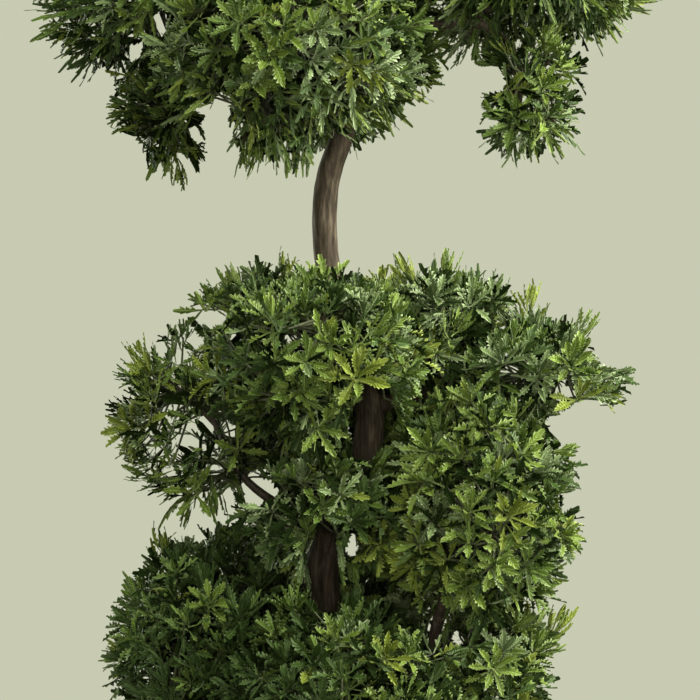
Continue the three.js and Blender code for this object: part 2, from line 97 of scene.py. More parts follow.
# Meshes of the trunk and boughs: a bough widens to a collar at its foot and ends a little inside its mass.
TRUNK_RINGS = 430
TRUNK_SIDES = 72
TRUNK_START = 0.012
TRUNK_SUNK = 2.5
BOUGH_SIDES = 24
BOUGH_FEWEST_RINGS = 24
BOUGH_RING_STEP = 2.2
BOUGH_IN_MASS = 3
COLLAR_GROWTH = 0.45
COLLAR_LENGTH = 12

# Relief of the bark: depth as a share of the limb's radius, and the size of the patches along each axis. On
# the boughs it is finer and deeper.
LUMP_DEPTH = 0.05
LUMP_PATCH = (14, 14, 34)
RIDGE_DEPTH = 0.032
RIDGE_PATCH = (3.4, 3.4, 26)
FIBRE_DEPTH = 0.012
FIBRE_PATCH = (1.5, 1.5, 14)
BOUGH_RELIEF_FINER = 1.6
BOUGH_RELIEF_DEEPER = 1.3

# Limbs and growth of a mass, as in the solids. Shares are of the mass's reach. The tips of a spray reach out
# and up by shares of its size. With the seeds, chance decides as it does there.
BOUGH_SHORTEST = 34.0
BOUGH_LONGEST_SHARE = 0.9
BOUGH_STEP = 0.01
BOUGH_TAPER = 0.62
STEM_TAPER = 0.6
SPACE_MARGIN = 1.0
SPRAY_SHARE = 0.5
SPRAY_SMALLEST = 26.0
SPRAY_LARGEST = 50.0
SPRAY_SPACING = 1.7
SPRAY_BLADES = 6
SPRAY_TIPS = (0.9, 0.18)
MEAN_HUB_SHARE = 0.8
HUB_FURTHEST = 0.96
HUB_NEAREST = 0.42
HUB_STEP = 0.03
ROOT_IN_CORE = 0.6
CORE_OF_AIRY = 0.5
TIPS_PROUD = 1.08
SPRIG_SIDE_ROSETTES = 3
OPEN_SHARE = 0.5
SPRAYS_ON_A_TWIG = 3
CORE_CORNERS = 42
FIRST_SEED = 1000
SEED_STEP = 77
UPWARD = 0.25
GOLDEN_TURN = math.pi * (3 - math.sqrt(5))

# Masses of foliage: heart, reach and bough as in the solids. tints says which greens a mass is dealt, as
# shares of young, fresh, sage, green and deep, airy how many times wider apart its rosettes are, and shoots
# the share of them that are small young shoots. sprigs are the ends of twigs that stand out of the round,
# as in the solids but for the two of crown_front. A mass without a bough has its stem straight on the
# trunk, from stem up.
MIXED = (0.04, 0.22, 0.19, 0.32, 0.23)
BRIGHT = (0.06, 0.36, 0.12, 0.33, 0.13)
COOL = (0.02, 0.18, 0.26, 0.31, 0.23)
PALE = (0.03, 0.20, 0.50, 0.21, 0.06)
# The dull and dark mixes go to masses in shade under or behind the others: painted shade.
DULL_PAINTED_SHADE = (0.02, 0.06, 0.08, 0.25, 0.59)
OLIVE = (0.15, 0.24, 0.05, 0.34, 0.22)
DARK_PAINTED_SHADE = (0.01, 0.03, 0.05, 0.18, 0.73)
MASSES = [
    dict(name="crown_top", heart=(-4, 2, 880), reach=(154, 134, 77), core=0.58, stem=872, tints=MIXED),
    dict(name="crown_left", heart=(-134, 8, 826), reach=(100, 106, 68), core=0.58, tints=DULL_PAINTED_SHADE, shoots=0.4,
         bough=("trunk", 772, 5.6, [(-48, 4, 800), (-92, 8, 812)])),
    dict(name="crown_left_hang", heart=(-130, 18, 748), reach=(48, 62, 50), core=0.52, tints=OLIVE,
         airy=0.92, shoots=0.8,
         sprigs=[(-127, 18, 706)],
         bough=("trunk", 742, 4.2, [(-45, 14, 764), (-88, 20, 766)])),
    dict(name="crown_front", heart=(-46, -70, 789), reach=(104, 104, 96), core=0.6, tints=MIXED,
         sprigs=[(-76, -44, 712), (-40, -40, 710)],
         bough=("trunk", 752, 5, [(-2, -24, 770)])),
    dict(name="crown_right", heart=(136, 4, 848), reach=(100, 104, 62), core=0.58, tints=COOL, shoots=0.3,
         sprigs=[(216, 0, 826), (86, 0, 792)],
         bough=("trunk", 786, 6, [(50, -4, 805), (92, -4, 809)])),
    dict(name="crown_right_hang", heart=(135, -12, 758), reach=(39, 56, 60), core=0.52, tints=BRIGHT,
         airy=1.05, shoots=0.3,
         bough=("bough_crown_right", 0.62, 3.6, [(122, -8, 792)])),
    dict(name="crown_back", heart=(-26, 88, 808), reach=(110, 102, 94), core=0.6, tints=MIXED,
         bough=("trunk", 760, 5.4, [(-2, 36, 780)])),
    dict(name="mid_left", heart=(-100, -12, 514), reach=(81, 100, 78), core=0, tints=MIXED, airy=1.2,
         shoots=0.6,
         sprigs=[(-152, -6, 556)],
         bough=("trunk", 424, 5.4, [(-46, -4, 444), (-76, -8, 468)])),
    dict(name="mid_left_top", heart=(-58, 4, 566), reach=(68, 88, 58), core=0.58, tints=MIXED,
         sprigs=[(-82, -4, 608), (-46, 6, 618)],
         bough=("trunk", 548, 4.4, [(-18, -6, 562)])),
    dict(name="mid_front", heart=(-20, -78, 555), reach=(90, 86, 66), core=0.58, tints=BRIGHT,
         bough=("trunk", 560, 4.2, [(-4, -32, 562)])),
    dict(name="mid_right_top", heart=(70, 10, 570), reach=(80, 92, 52), core=0.58, tints=PALE, shoots=0.2,
         sprigs=[(48, 4, 613), (75, 10, 619), (112, 20, 603)],
         bough=("trunk", 562, 4.2, [(34, 8, 566)])),
    dict(name="mid_right", heart=(126, -4, 540), reach=(93, 98, 47), core=0.58, tints=PALE, shoots=0.3,
         sprigs=[(138, 4, 592), (178, 0, 578)],
         bough=("trunk", 520, 5.6, [(52, -8, 528), (88, -8, 538)])),
    dict(name="mid_right_lobe", heart=(90, -52, 446), reach=(87, 102, 102), core=0.6, tints=BRIGHT,
         bough=("trunk", 312, 6, [(36, -6, 322), (62, -14, 338), (69, -22, 364)])),
    dict(name="mid_low_front", heart=(-14, -62, 448), reach=(74, 68, 52), core=0.52, tints=COOL,
         bough=("trunk", 426, 4, [(-14, -24, 434)])),
    dict(name="mid_back", heart=(-2, 90, 526), reach=(144, 102, 102), core=0.6, tints=MIXED,
         bough=("trunk", 508, 5.6, [(8, 36, 520)])),
    dict(name="low_left", heart=(-92, -10, 334), reach=(88, 108, 98), core=0.6, tints=DARK_PAINTED_SHADE, shoots=0.25,
         sprigs=[(-136, -4, 411), (-152, -6, 376)],
         bough=("trunk", 268, 6, [(-30, -6, 288)])),
    dict(name="low_front", heart=(-4, -84, 306), reach=(106, 94, 90), core=0.6, tints=DULL_PAINTED_SHADE, shoots=0.15,
         bough=("trunk", 250, 5.4, [(6, -38, 274)])),
    dict(name="low_right", heart=(84, -20, 318), reach=(71, 104, 88), core=0.58, tints=BRIGHT, shoots=0.15,
         sprigs=[(155, -16, 354)],
         bough=("trunk", 236, 5.8, [(54, -14, 262)])),
    dict(name="low_back", heart=(0, 94, 340), reach=(140, 100, 108), core=0.6, tints=MIXED,
         bough=("trunk", 276, 5.8, [(2, 38, 294)])),
]

# Windows, as the photograph shows them: place and half size in the plane of the trunk, along the camera's
# rays. A window on a limb is kept clear in front of it, and one on the sky right through.
LIMB_WINDOWS = [(-12, 680, 12, 52), (19, 508, 14, 30), (-15, 399, 11, 30), (66, 362, 7, 24)]
SKY_WINDOWS = [
    (-65, 458, 14, 11), (4, 416, 4, 11), (70, 358, 7, 9), (166, 450, 5, 8), (165, 530, 9, 4),
    (109, 766, 10, 9), (-137, 806, 4, 12), (-157, 788, 5, 6), (-82, 707, 5, 6), (84, 734, 15, 34),
    (-168, 704, 17, 22), (-96, 724, 9, 29), (-98, 587, 13, 7), (211, 570, 22, 21), (182, 509, 24, 14),
    (82, 345, 6, 7), (36, 696, 24, 19), (-41, 572, 4, 5), (-35, 563, 4, 4), (-55, 560, 3, 3),
    (-106, 744, 5, 4), (-111, 722, 4, 7), (-123, 706, 4, 5), (48, 742, 5, 4), (125, 542, 4, 7),
    (-137, 562, 3, 6), (-111, 569, 4, 6), (-124, 560, 3, 4), (-81, 572, 3, 3), (-123, 519, 4, 3),
    (-130, 508, 2, 3), (-117, 507, 5, 3), (-102, 508, 4, 4), (-86, 502, 3, 4), (-96, 489, 2, 4),
    (-104, 488, 2, 5), (-112, 494, 3, 5), (-126, 495, 3, 5), (-148, 494, 2, 3), (-140, 486, 2, 3),
    (-130, 471, 4, 4), (-93, 473, 6, 3), (-104, 459, 3, 4), (-88, 452, 5, 5),
]
WINDOW_UNEVEN = 0.65
WINDOW_RAGS = 9
LIMB_WINDOW_BACK = 10

# How far outside the windows hubs, rosettes and points along each blade stay.
HUB_MARGIN = 4
SITE_MARGIN = 2
MARK_MARGIN = 0.3
BLADE_MARKS = (0.3, 0.55, 0.8, 1.0)

# A blade: lengths in millimetres, angles in degrees, the rest as shares of its length. The envelope gives
# its half width along it. The innermost blades are plain, without teeth.
BLADE_LENGTH = 20.0
BLADE_FOLD = 0.62
FOLD_RANGE = (0.7, 1.3)
BLADE_TWIST = 11
BLADE_SWAY = 0.09
BLADE_FOOT = 0.8
BLADE_ENVELOPE = (
    (0, 0.2, 0.32, 0.5, 0.68, 0.83, 0.93, 1.0),
    (0.028, 0.046, 0.088, 0.148, 0.186, 0.146, 0.076, 0.014),
)
MIDRIB = (0, 0.42, 0.74)
TEETH_FROM = 0.36
TEETH_TO = 0.96
TOOTH_LEAN = 0.9
NOTCH_SHARE = 0.52
TOOTH_LIFT = 0.024
PLAIN_MIDRIB = (0, 0.6)
PLAIN_EDGE = ((0, 0.03), (0.35, 0.08), (0.68, 0.11), (0.9, 0.07))

# Veins pressed into a blade, as shares of its length: from one to the next, and how far forward they run.
VEIN_STEP = 0.1
VEIN_SLANT = 1.85

# Whorls of each kind of rosette: number of blades and of their teeth, then ranges of the angle from the twig
# in degrees, of length, bend and width as shares, and of the way down the twig in millimetres.
BROAD = (0.9, 1.1)
FOLDED = (0.74, 0.98)
SLIM = (0.52, 0.74)
WHORLS = {
    "open": [
        (7, 5, (55, 84), (1.0, 1.2), (-0.3, 0.08), BROAD, (0, 3)),
        (6, 5, (30, 54), (0.88, 1.06), (-0.2, 0.2), BROAD, (-1, 1)),
        (3, 3, (8, 28), (0.42, 0.62), (-0.1, 0.3), BROAD, (-1.5, 0)),
        (5, 4, (72, 105), (0.85, 1.1), (-0.35, 0.1), BROAD, (7, 15)),
    ],
    "cupped": [
        (7, 5, (36, 66), (0.98, 1.22), (-0.25, 0.2), FOLDED, (0, 3)),
        (5, 4, (12, 36), (0.8, 1.05), (-0.1, 0.3), FOLDED, (-1, 1)),
        (6, 4, (72, 105), (0.9, 1.15), (-0.35, 0.0), FOLDED, (4, 13)),
    ],
    "young": [
        (6, 4, (18, 52), (0.75, 1.0), (-0.2, 0.3), FOLDED, (0, 3)),
        (7, 5, (58, 95), (0.85, 1.1), (-0.3, 0.1), BROAD, (3, 9)),
    ],
    "hanging": [
        (5, 3, (50, 88), (0.9, 1.25), (0.45, 1.0), SLIM, (0, 6)),
        (2, 3, (15, 35), (0.7, 1.0), (-0.6, 0.6), SLIM, (-1, 1)),
        (5, 3, (60, 98), (0.85, 1.2), (0.4, 1.0), SLIM, (7, 18)),
    ],
    "shoot": [
        (4, 2, (10, 34), (0.52, 0.78), (-0.3, 0.3), SLIM, (-2, 0)),
        (6, 3, (34, 68), (0.7, 1.02), (0.05, 0.7), SLIM, (2, 7)),
        (5, 3, (56, 92), (0.7, 1.02), (0.2, 0.85), SLIM, (8, 17)),
    ],
    "sprig": [
        (3, 3, (6, 24), (0.7, 1.0), (-0.4, 0.4), SLIM, (-2, 0)),
        (6, 4, (26, 54), (0.95, 1.3), (0.05, 0.65), SLIM, (1, 6)),
        (5, 4, (48, 80), (0.9, 1.2), (0.2, 0.8), SLIM, (8, 16)),
    ],
    "middle": [
        (6, 3, (50, 90), (0.95, 1.2), (-0.3, 0.2), BROAD, (0, 6)),
        (3, 2, (15, 45), (0.7, 0.9), (0, 0.2), BROAD, (0, 1)),
    ],
    "inner": [(7, 0, (40, 95), (1.2, 1.6), (-0.3, 0.2), BROAD, (0, 10))],
}
TURN_JITTER = 0.15
START_JITTER = 0.2

# How many different rosettes of each kind are made for each use: the outer, middle and inner layer of a
# mass, the sprigs, small young shoots, and those that hang under it.
ROSETTE_MIX = {
    "outer": {"open": 6, "cupped": 8, "young": 2},
    "hanging": {"hanging": 7},
    "shoot": {"shoot": 7},
    "sprig": {"sprig": 7},
    "middle": {"middle": 7},
    "inner": {"inner": 7},
}
ROSETTE_SIZES = (0.84, 1.12)

# The outer layer: space between rosettes, and depth under the surface with what chance adds and what the
# place between two tufts adds, but never below a share of the way out. A few stand out further. Where another
# mass walls in the round of this one, they keep out of the other's inside.
SITE_TRIES = 2600
OUTER_SPACING = 24.0
SPACING_RANGE = (0.85, 1.1)
OUTER_DEPTH = 16
DEPTH_BY_CHANCE = 11
CHANCE_POWER = 1.5
DEPTH_BETWEEN_TUFTS = 6
TUFT_RADIUS = 28
TUFT_FADE = 30
PROUD_SHARE = 0.1
PROUD_DEPTH = 12
DEEPEST = 0.6
LIMB_CLEARANCE = 7.0
TRUNK_SAMPLES = 260
BOUGH_SAMPLES = 50
WALLED = 0.985
OUT_OF_OTHERS = 0.86

# The layers within: share of the way out from the heart, its range, space between rosettes, and the power of
# airy by which they stand wider apart. Their rosettes are dealt dark tints, and the inner layer's larger
# plain blades the shade tint only: painted shade inside the mass.
INNER_LAYERS = {"middle": (0.79, (0.9, 1.08), 20.5, 1.6), "inner": (0.48, (0.8, 1.15), 26.0, 2.4)}

# How a rosette faces: out of the mass, along its twig and up, less so where it hangs, and each a little its
# own way. Those that face further down than a slope hang.
FACING_UPWARD = 0.55
FACING_LEVELLED = 0.5
HANGING_UPWARD = 0.1
FACING_ALONG = 0.4
FACING_SPREAD = {"outer": 0.24, "middle": 0.5, "inner": 0.5, "sprig": 0.16}
HANGS_IN_CROWN = -0.45
HANGS_ELSEWHERE = -0.88
HANGS_SPREAD = 0.15

# Twigs: radius at the foot and tip, and number of sides. A main twig stops short of its hub. The foot of a
# side twig is the nearest place on the main twigs, where one that lies too far out counts as further away. It
# runs on along the main twig for a share of its length, sags, and comes up straight under its rosette.
MAIN_TWIG = (2.3, 1.3, 6)
MAIN_TWIG_POINTS = 12
MAIN_TWIG_FEET = (0.45, 1.0)
SHORT_OF_HUB = 6
LEAST_HUB_SHARE = 0.3
SIDE_TWIG = (1.3, 0.75, 3)
SIDE_TWIG_POINTS = {"outer": 5, "sprig": 5, "middle": 4, "inner": 4}
STEM_GROWTH = 1.02
STEM_SIDES = 10
STEM_POINTS = 9
FEET_TRIED = 24
FOOT_SPREAD = 16.0
FOOT_DEEPER = 0.22
FOOT_TOO_FAR_OUT = 90
TWIG_SAG = 0.12
ALONG_MAIN_TWIG = 0.35
COMES_UP_STRAIGHT = (0.45, 20)

# Sprigs: how far down the twig its side rosettes sit, how far beside it, and how far they turn to the side.
SPRIG_WAY_DOWN = (13, 22)
SPRIG_BESIDE = 9
SPRIG_TURN = 0.8

# Tints of leaves: colour, that of teeth, foot and midrib, roughness and gloss. Neighbours often share one.
# The paler colour of the teeth is partly their own and partly a painted highlight. The nearly black shade
# tint is painted shade.
TINTS = {
    "young": ((0.150, 0.200, 0.022), (0.32, 0.37, 0.12), 0.48, 0.22),
    "fresh": ((0.128, 0.195, 0.023), (0.32, 0.40, 0.17), 0.45, 0.3),
    "sage": ((0.130, 0.192, 0.066), (0.42, 0.49, 0.31), 0.5, 0.28),
    "green": ((0.084, 0.142, 0.017), (0.25, 0.33, 0.14), 0.46, 0.3),
    "deep": ((0.036, 0.071, 0.011), (0.12, 0.17, 0.07), 0.48, 0.26),
    "shade": ((0.010, 0.021, 0.003), (0.018, 0.03, 0.006), 0.65, 0.08),
}
DEEP = list(TINTS).index("deep")
SHADE = list(TINTS).index("shade")
# Painted shade: shares of the middle layer given the deep and the shade tint. Tints are ranked by patch,
# chance and depth, and rosettes further in get darker ones.
DEEP_IN_MIDDLE = 0.55
SHADE_IN_MIDDLE = 0.35
TINT_PATCH = 46
TINT_BY_PATCH = 0.45
TINT_BY_CHANCE = 0.35
SHADE_BY_DEPTH = 0.8
BLADE_OF_OTHER_TINT = 0.14

# Colours of bark, twigs, pot, soil and floor, from dark to light. Patches of the bark are toned down.
BARK_TONES = ((0.024, 0.018, 0.012), (0.073, 0.056, 0.038), (0.165, 0.131, 0.091))
BARK_PATCHES = (0.66, 0.63, 0.58)
WOOD_TONES = ((0.025, 0.018, 0.012), (0.075, 0.055, 0.035))
GREEN_TWIG_TONES = ((0.03, 0.035, 0.016), (0.085, 0.1, 0.045))
POT_TONES = ((0.04, 0.038, 0.035), (0.07, 0.066, 0.061), (0.17, 0.16, 0.15))
SOIL_TONES = ((0.012, 0.008, 0.005), (0.035, 0.022, 0.013), (0.085, 0.056, 0.034))
FLOOR_TONES = ((0.19, 0.195, 0.17), (0.205, 0.21, 0.185))

# Light: square lamps aimed at the middle of the plant, as name, place, size, watts and colour, and a faint
# glow all round. The camera sees a plain backdrop behind the round floor.
LAMP_AIM = (0, 0, 560)
LAMPS = [
    ("key", (1700, -420, 1350), 1300, 124, (1.0, 0.97, 0.87)),
    ("fill", (350, -1450, 2000), 1100, 42, (0.98, 1.0, 0.82)),
    ("front", (-150, -1900, 620), 700, 11, (1.0, 0.95, 0.84)),
    ("back", (500, 1700, 1300), 1100, 36, (1.0, 0.98, 0.92)),
    ("left", (-1550, 1150, 1000), 1200, 34, (0.96, 1.0, 0.86)),
]
GLOW = (0.9, 1.0, 0.55)
GLOW_STRENGTH = 0.165
BACKDROP = (0.577, 0.597, 0.445)
FLOOR_RADIUS = 1000
FLOOR_SIDES = 96
FLOOR_ROUGHNESS = 0.85

# Seeds of what chance decides.
WORLD_SEED = 20
MASS_SEED_STEP = 31
SOIL_SEED_STEP = 5


# Curves and noise

class Curve:
    """A smooth centripetal curve through points, measured by the share of its length."""

    def __init__(self, points, pieces=60):
        points = np.array(points, float)
        before = 2 * points[0] - points[1]
        after = 2 * points[-1] - points[-2]
        padded = np.vstack([before, points, after])
        dense = []
        for i in range(1, len(padded) - 2):
            a, b, c, d = padded[i - 1:i + 3]
            ab, bc, cd = (math.sqrt(np.linalg.norm(q - p)) for p, q in ((a, b), (b, c), (c, d)))
            leave = ((b - a) / ab - (c - a) / (ab + bc) + (c - b) / bc) * bc
            arrive = ((c - b) / bc - (d - b) / (bc + cd) + (d - c) / cd) * bc
            t = np.linspace(0, 1, pieces, endpoint=False)[:, None]
            cubic = 2 * b - 2 * c + leave + arrive
            square = 3 * c - 3 * b - 2 * leave - arrive
            dense.append(b + leave * t + square * t * t + cubic * t ** 3)
        self.points = np.vstack(dense + [points[-1:]])
        steps = np.linalg.norm(np.diff(self.points, axis=0), axis=1)
        self.length = steps.sum()
        self.shares = np.concatenate([[0], np.cumsum(steps)]) / self.length

    def at(self, share):
        return np.stack([np.interp(share, self.shares, axis) for axis in self.points.T], axis=-1)


def mix(a, b, share):
    return a + (b - a) * share


def ease(x, low, high):
    t = np.clip((x - low) / (high - low), 0, 1)
    return t * t * (3 - 2 * t)


def unit(v):
    return v / np.linalg.norm(v, axis=-1, keepdims=True)


def stream(seed):
    """A repeatable stream of numbers from 0 to 1, the same as in the solids."""
    state = seed

    def draw():
        nonlocal state
        state = (state + 0x6D2B79F5) & 0xFFFFFFFF
        t = ((state ^ (state >> 15)) * (state | 1)) & 0xFFFFFFFF
        t ^= (t + ((t ^ (t >> 7)) * (t | 61) & 0xFFFFFFFF)) & 0xFFFFFFFF
        return (t ^ (t >> 14)) / 4294967296

    return draw


def smooth_noise(points, patch, seed):
    """Smooth noise from -1 to 1 at points, with patches of the given size along each axis."""
    cells = np.asarray(points, float) / patch
    low = np.floor(cells).astype(np.int64)
    part = cells - low
    part = part * part * (3 - 2 * part)
    total = np.zeros(cells.shape[:-1])
    for corner in itertools.product((0, 1), repeat=3):
        x, y, z = (low[..., k] + corner[k] for k in range(3))
        mixed = (x * 73856093) ^ (y * 19349663) ^ (z * 83492791) ^ (seed * 2654435761)
        mixed = ((mixed ^ (mixed >> 13)) * 1274126177) & 0x7FFFFFFF
        value = (mixed ^ (mixed >> 16)) / 0x3FFFFFFF - 1
        weight = np.prod([part[..., k] if corner[k] else 1 - part[..., k] for k in range(3)], axis=0)
        total += value * weight
    return total


# Meshes

class Heap:
    """Meshes heaped up to be joined: points, triangles, a number for each triangle, and rows of a map."""

    def __init__(self):
        self.points, self.faces, self.numbers, self.maps = [], [], [], []
        self.count = 0

    def add(self, points, faces, numbers=0, maps=None):
        """More points, with triangles that count from the first of them."""
        self.points.append(points)
        self.faces.append(faces + self.count)
        self.numbers.append(np.broadcast_to(numbers, len(faces)))
        if maps is not None:
            self.maps.append(maps)
        self.count += len(points)

    def joined(self):
        maps = np.vstack(self.maps) if self.maps else None
        return np.vstack(self.points), np.vstack(self.faces), np.concatenate(self.numbers), maps

    def as_piece(self, name, materials):
        """One piece of the points in use. The numbers choose among its materials."""
        points, faces, slots, corner_uv = self.joined()
        used, faces = np.unique(faces, return_inverse=True)
        return new_piece(name, points[used], faces.reshape(-1, 3), materials, slots, corner_uv)


def add_object(name, data):
    made = bpy.data.objects.new(name, data)
    bpy.context.scene.collection.objects.link(made)
    return made


def new_piece(name, points, faces, materials, face_slots=None, corner_uv=None):
    """A smooth-shaded mesh object from arrays: points in millimetres, faces all of one number of corners."""
    faces = np.asarray(faces, np.int32)
    mesh = bpy.data.meshes.new(name)
    mesh.vertices.add(len(points))
    mesh.vertices.foreach_set("co", (np.asarray(points, np.float32) * MM).ravel())
    mesh.loops.add(faces.size)
    mesh.loops.foreach_set("vertex_index", faces.ravel())
    mesh.polygons.add(len(faces))
    mesh.polygons.foreach_set("loop_start", np.arange(0, faces.size, faces.shape[1], dtype=np.int32))
    mesh.polygons.foreach_set("use_smooth", np.ones(len(faces), bool))
    for material in materials:
        mesh.materials.append(material)
    if face_slots is not None:
        mesh.polygons.foreach_set("material_index", np.asarray(face_slots, np.int32))
    if corner_uv is not None:
        layer = mesh.uv_layers.new(name="blade")
        layer.data.foreach_set("uv", np.asarray(corner_uv, np.float32).ravel())
    mesh.update(calc_edges=True)
    mesh.validate()
    return add_object(name, mesh)


def put_in_place(piece, slot, *nodes):
    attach(piece, "root")
    if nodes:
        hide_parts(*nodes)


def ring_faces(rings, sides):
    """Four-cornered faces between rings of points that follow each other."""
    ring = np.arange(rings - 1)[:, None] * sides
    side = np.arange(sides)[None, :]
    after = (side + 1) % sides
    faces = np.stack([ring + side, ring + after, ring + sides + after, ring + sides + side], axis=-1)
    return faces.reshape(-1, 4)


def in_threes(faces):
    """Four-cornered faces cut into triangles."""
    return np.vstack([faces[:, [0, 1, 2]], faces[:, [0, 2, 3]]])


def capped(points):
    """Rings of points as one surface of triangles, with the last ring closed by a point in its middle."""
    rings, sides = points.shape[:2]
    tip = rings * sides
    last = np.arange(tip - sides, tip)
    cap = np.stack([last, np.roll(last, -1), np.full(sides, tip)], axis=1)
    flat = np.vstack([points.reshape(-1, 3), points[-1].mean(axis=0)])
    return flat, np.vstack([in_threes(ring_faces(rings, sides)), cap])


def round_turns(sides):
    return np.arange(sides) * 2 * math.pi / sides


def upright_rings(radii, heights, sides):
    """Rings of points round the Z axis, each with its radius and height."""
    turns = round_turns(sides)
    radii, heights = (np.asarray(a)[:, None] for a in (radii, heights))
    return np.stack([radii * np.cos(turns), radii * np.sin(turns), heights + np.zeros(sides)], axis=-1)


def directions_round(across, other, sides):
    """Directions round places in a plane, from two that are square to each other, for many at once."""
    turns = round_turns(sides)[:, None]
    return across[..., None, :] * np.cos(turns) + other[..., None, :] * np.sin(turns)


def moving_frames(centres):
    """Two directions square to a line of points at each of them, turning as little as possible."""
    along = unit(np.gradient(centres, axis=0))
    axis = np.zeros(3)
    axis[np.argmin(np.abs(along[0]))] = 1
    normal = np.cross(along[0], unit(np.cross(along[0], axis)))
    normals = [normal]
    for before, after in zip(along[:-1], along[1:]):
        turn_axis = np.cross(before, after)
        sine = np.linalg.norm(turn_axis)
        if sine > 1e-9:
            turn_axis = turn_axis / sine
            angle = math.atan2(sine, float(before @ after))
            normal = (normal * math.cos(angle) + np.cross(turn_axis, normal) * math.sin(angle)
                      + turn_axis * (turn_axis @ normal) * (1 - math.cos(angle)))
        normals.append(normal)
    normals = np.array(normals)
    return normals, np.cross(along, normals)


# Materials

class Nodes:
    """A new material with its shader, and short ways to add and join nodes."""

    def __init__(self, name):
        self.material = bpy.data.materials.new(name)
        self.material.use_nodes = True
        self.tree = self.material.node_tree
        self.shader = self.tree.nodes["Principled BSDF"]

    def feed(self, value, socket):
        """Join an output to a socket, or set a number or a colour on it."""
        if isinstance(value, bpy.types.NodeSocket):
            self.tree.links.new(value, socket)
        else:
            socket.default_value = (*value, 1) if isinstance(value, tuple) else value

    def add(self, kind, inputs=None, **settings):
        """A new node with its settings, its inputs fed by their names or numbers."""
        node = self.tree.nodes.new(kind)
        for key, value in settings.items():
            setattr(node, key, value)
        for key, value in (inputs or {}).items():
            self.feed(value, node.inputs[key])
        return node

    def place(self, scale=(1, 1, 1)):
        """The place on the object in metres, with each axis stretched."""
        coordinates = self.add("ShaderNodeTexCoord")
        mapping = self.add("ShaderNodeMapping", {"Vector": coordinates.outputs["Object"]})
        mapping.inputs["Scale"].default_value = scale
        return mapping.outputs["Vector"]

    def noise(self, place, scale, detail=3.0, roughness=0.55):
        inputs = {"Vector": place, "Scale": scale, "Detail": detail, "Roughness": roughness}
        return self.add("ShaderNodeTexNoise", inputs).outputs["Fac"]

    def ramp(self, factor, *stops):
        node = self.add("ShaderNodeValToRGB", {"Fac": factor})
        elements = node.color_ramp.elements
        while len(elements) < len(stops):
            elements.new(0.5)
        for element, (place, colour) in zip(elements, stops):
            element.position = place
            element.color = (*colour, 1)
        return node.outputs["Color"]

    def blend(self, factor, a, b, kind="MIX"):
        node = self.add("ShaderNodeMix", {0: factor, 6: a, 7: b}, data_type="RGBA", blend_type=kind)
        return node.outputs[2]

    def span(self, value, low, high, to_low, to_high):
        """A value taken from one range to another, and held at its ends."""
        inputs = {"Value": value, "From Min": low, "From Max": high, "To Min": to_low, "To Max": to_high}
        return self.add("ShaderNodeMapRange", inputs).outputs["Result"]

    def maths(self, operation, a, b=0.0):
        return self.add("ShaderNodeMath", {0: a, 1: b}, operation=operation).outputs["Value"]

    def bump(self, height, strength, distance_mm, after=None):
        inputs = {"Height": height, "Strength": strength, "Distance": distance_mm * MM}
        if after is not None:
            inputs["Normal"] = after
        return self.add("ShaderNodeBump", inputs).outputs["Normal"]

    def finished(self, colour, relief, roughness, gloss=0.5):
        inputs = {"Base Color": colour, "Normal": relief, "Roughness": roughness, "Specular IOR Level": gloss}
        for key, value in inputs.items():
            self.feed(value, self.shader.inputs[key])
        return self.material


def scaled(colour, by):
    return tuple(min(1.0, c * by) for c in colour)


def leaf_material(name, colour, pale, roughness, gloss):
    """Moulded leaf: veins pressed in from the midrib to the teeth, their grooves darkened as painted shade,
    with paler foot and midrib, and paler teeth that are partly a painted highlight.
    """
    made = Nodes(name)
    place = made.place()
    mottle = made.noise(place, 120, 2)
    tone = made.ramp(mottle, (0.3, scaled(colour, 0.7)), (0.5, colour), (0.72, scaled(colour, 1.3)))
    uv = made.add("ShaderNodeUVMap", uv_map="blade")
    parts = made.add("ShaderNodeSeparateXYZ", {"Vector": uv.outputs["UV"]})
    along = parts.outputs["Y"]
    from_rib = made.maths("ABSOLUTE", made.maths("SUBTRACT", parts.outputs["X"], 0.5))
    outward = made.maths("MULTIPLY", from_rib, 2.0)
    along_vein = made.maths("MULTIPLY", outward, 2 * math.pi * VEIN_SLANT)
    along_blade = made.maths("MULTIPLY", along, 2 * math.pi / VEIN_STEP)
    veins = made.maths("SINE", made.maths("SUBTRACT", along_blade, along_vein))
    # Painted shade: the vein grooves are darkened.
    groove_shade = made.blend(made.span(veins, -1.0, 0.4, 0.5, 0.0), tone, scaled(colour, 0.45))
    # The teeth are paler, partly their own colour and partly a painted highlight.
    teeth = made.span(outward, 0.5, 0.95, 0.0, 0.85)
    rib = made.span(outward, 0.0, 0.16, 0.6, 0.0)
    foot = made.span(along, 0.0, 0.35, 0.4, 0.0)
    paler = made.maths("MAXIMUM", made.maths("MAXIMUM", rib, foot), teeth)
    rough = made.span(made.noise(place, 320, 2), 0.3, 0.7, roughness - 0.07, roughness + 0.1)
    return made.finished(made.blend(paler, groove_shade, pale), made.bump(veins, 0.5, 0.4), rough, gloss)


def bark_material():
    """Grey-brown bark with lengthwise streaks, furrows darker than ridges."""
    made = Nodes("bark_ridged")
    streaks = made.noise(made.place((1, 1, 0.13)), 330, 5, 0.62)
    broad = made.noise(made.place((1, 1, 0.4)), 60, 3)
    fine = made.noise(made.place((1, 1, 0.3)), 900, 3)
    tone = made.ramp(streaks, *zip((0.3, 0.5, 0.68), BARK_TONES))
    patches = made.ramp(broad, (0.35, BARK_PATCHES), (0.65, (1.0, 1.0, 1.0)))
    relief = made.bump(fine, 0.4, 0.3, made.bump(streaks, 0.6, 0.9))
    rough = made.span(streaks, 0.3, 0.7, 0.92, 0.72)
    return made.finished(made.blend(1.0, tone, patches, "MULTIPLY"), relief, rough, 0.3)


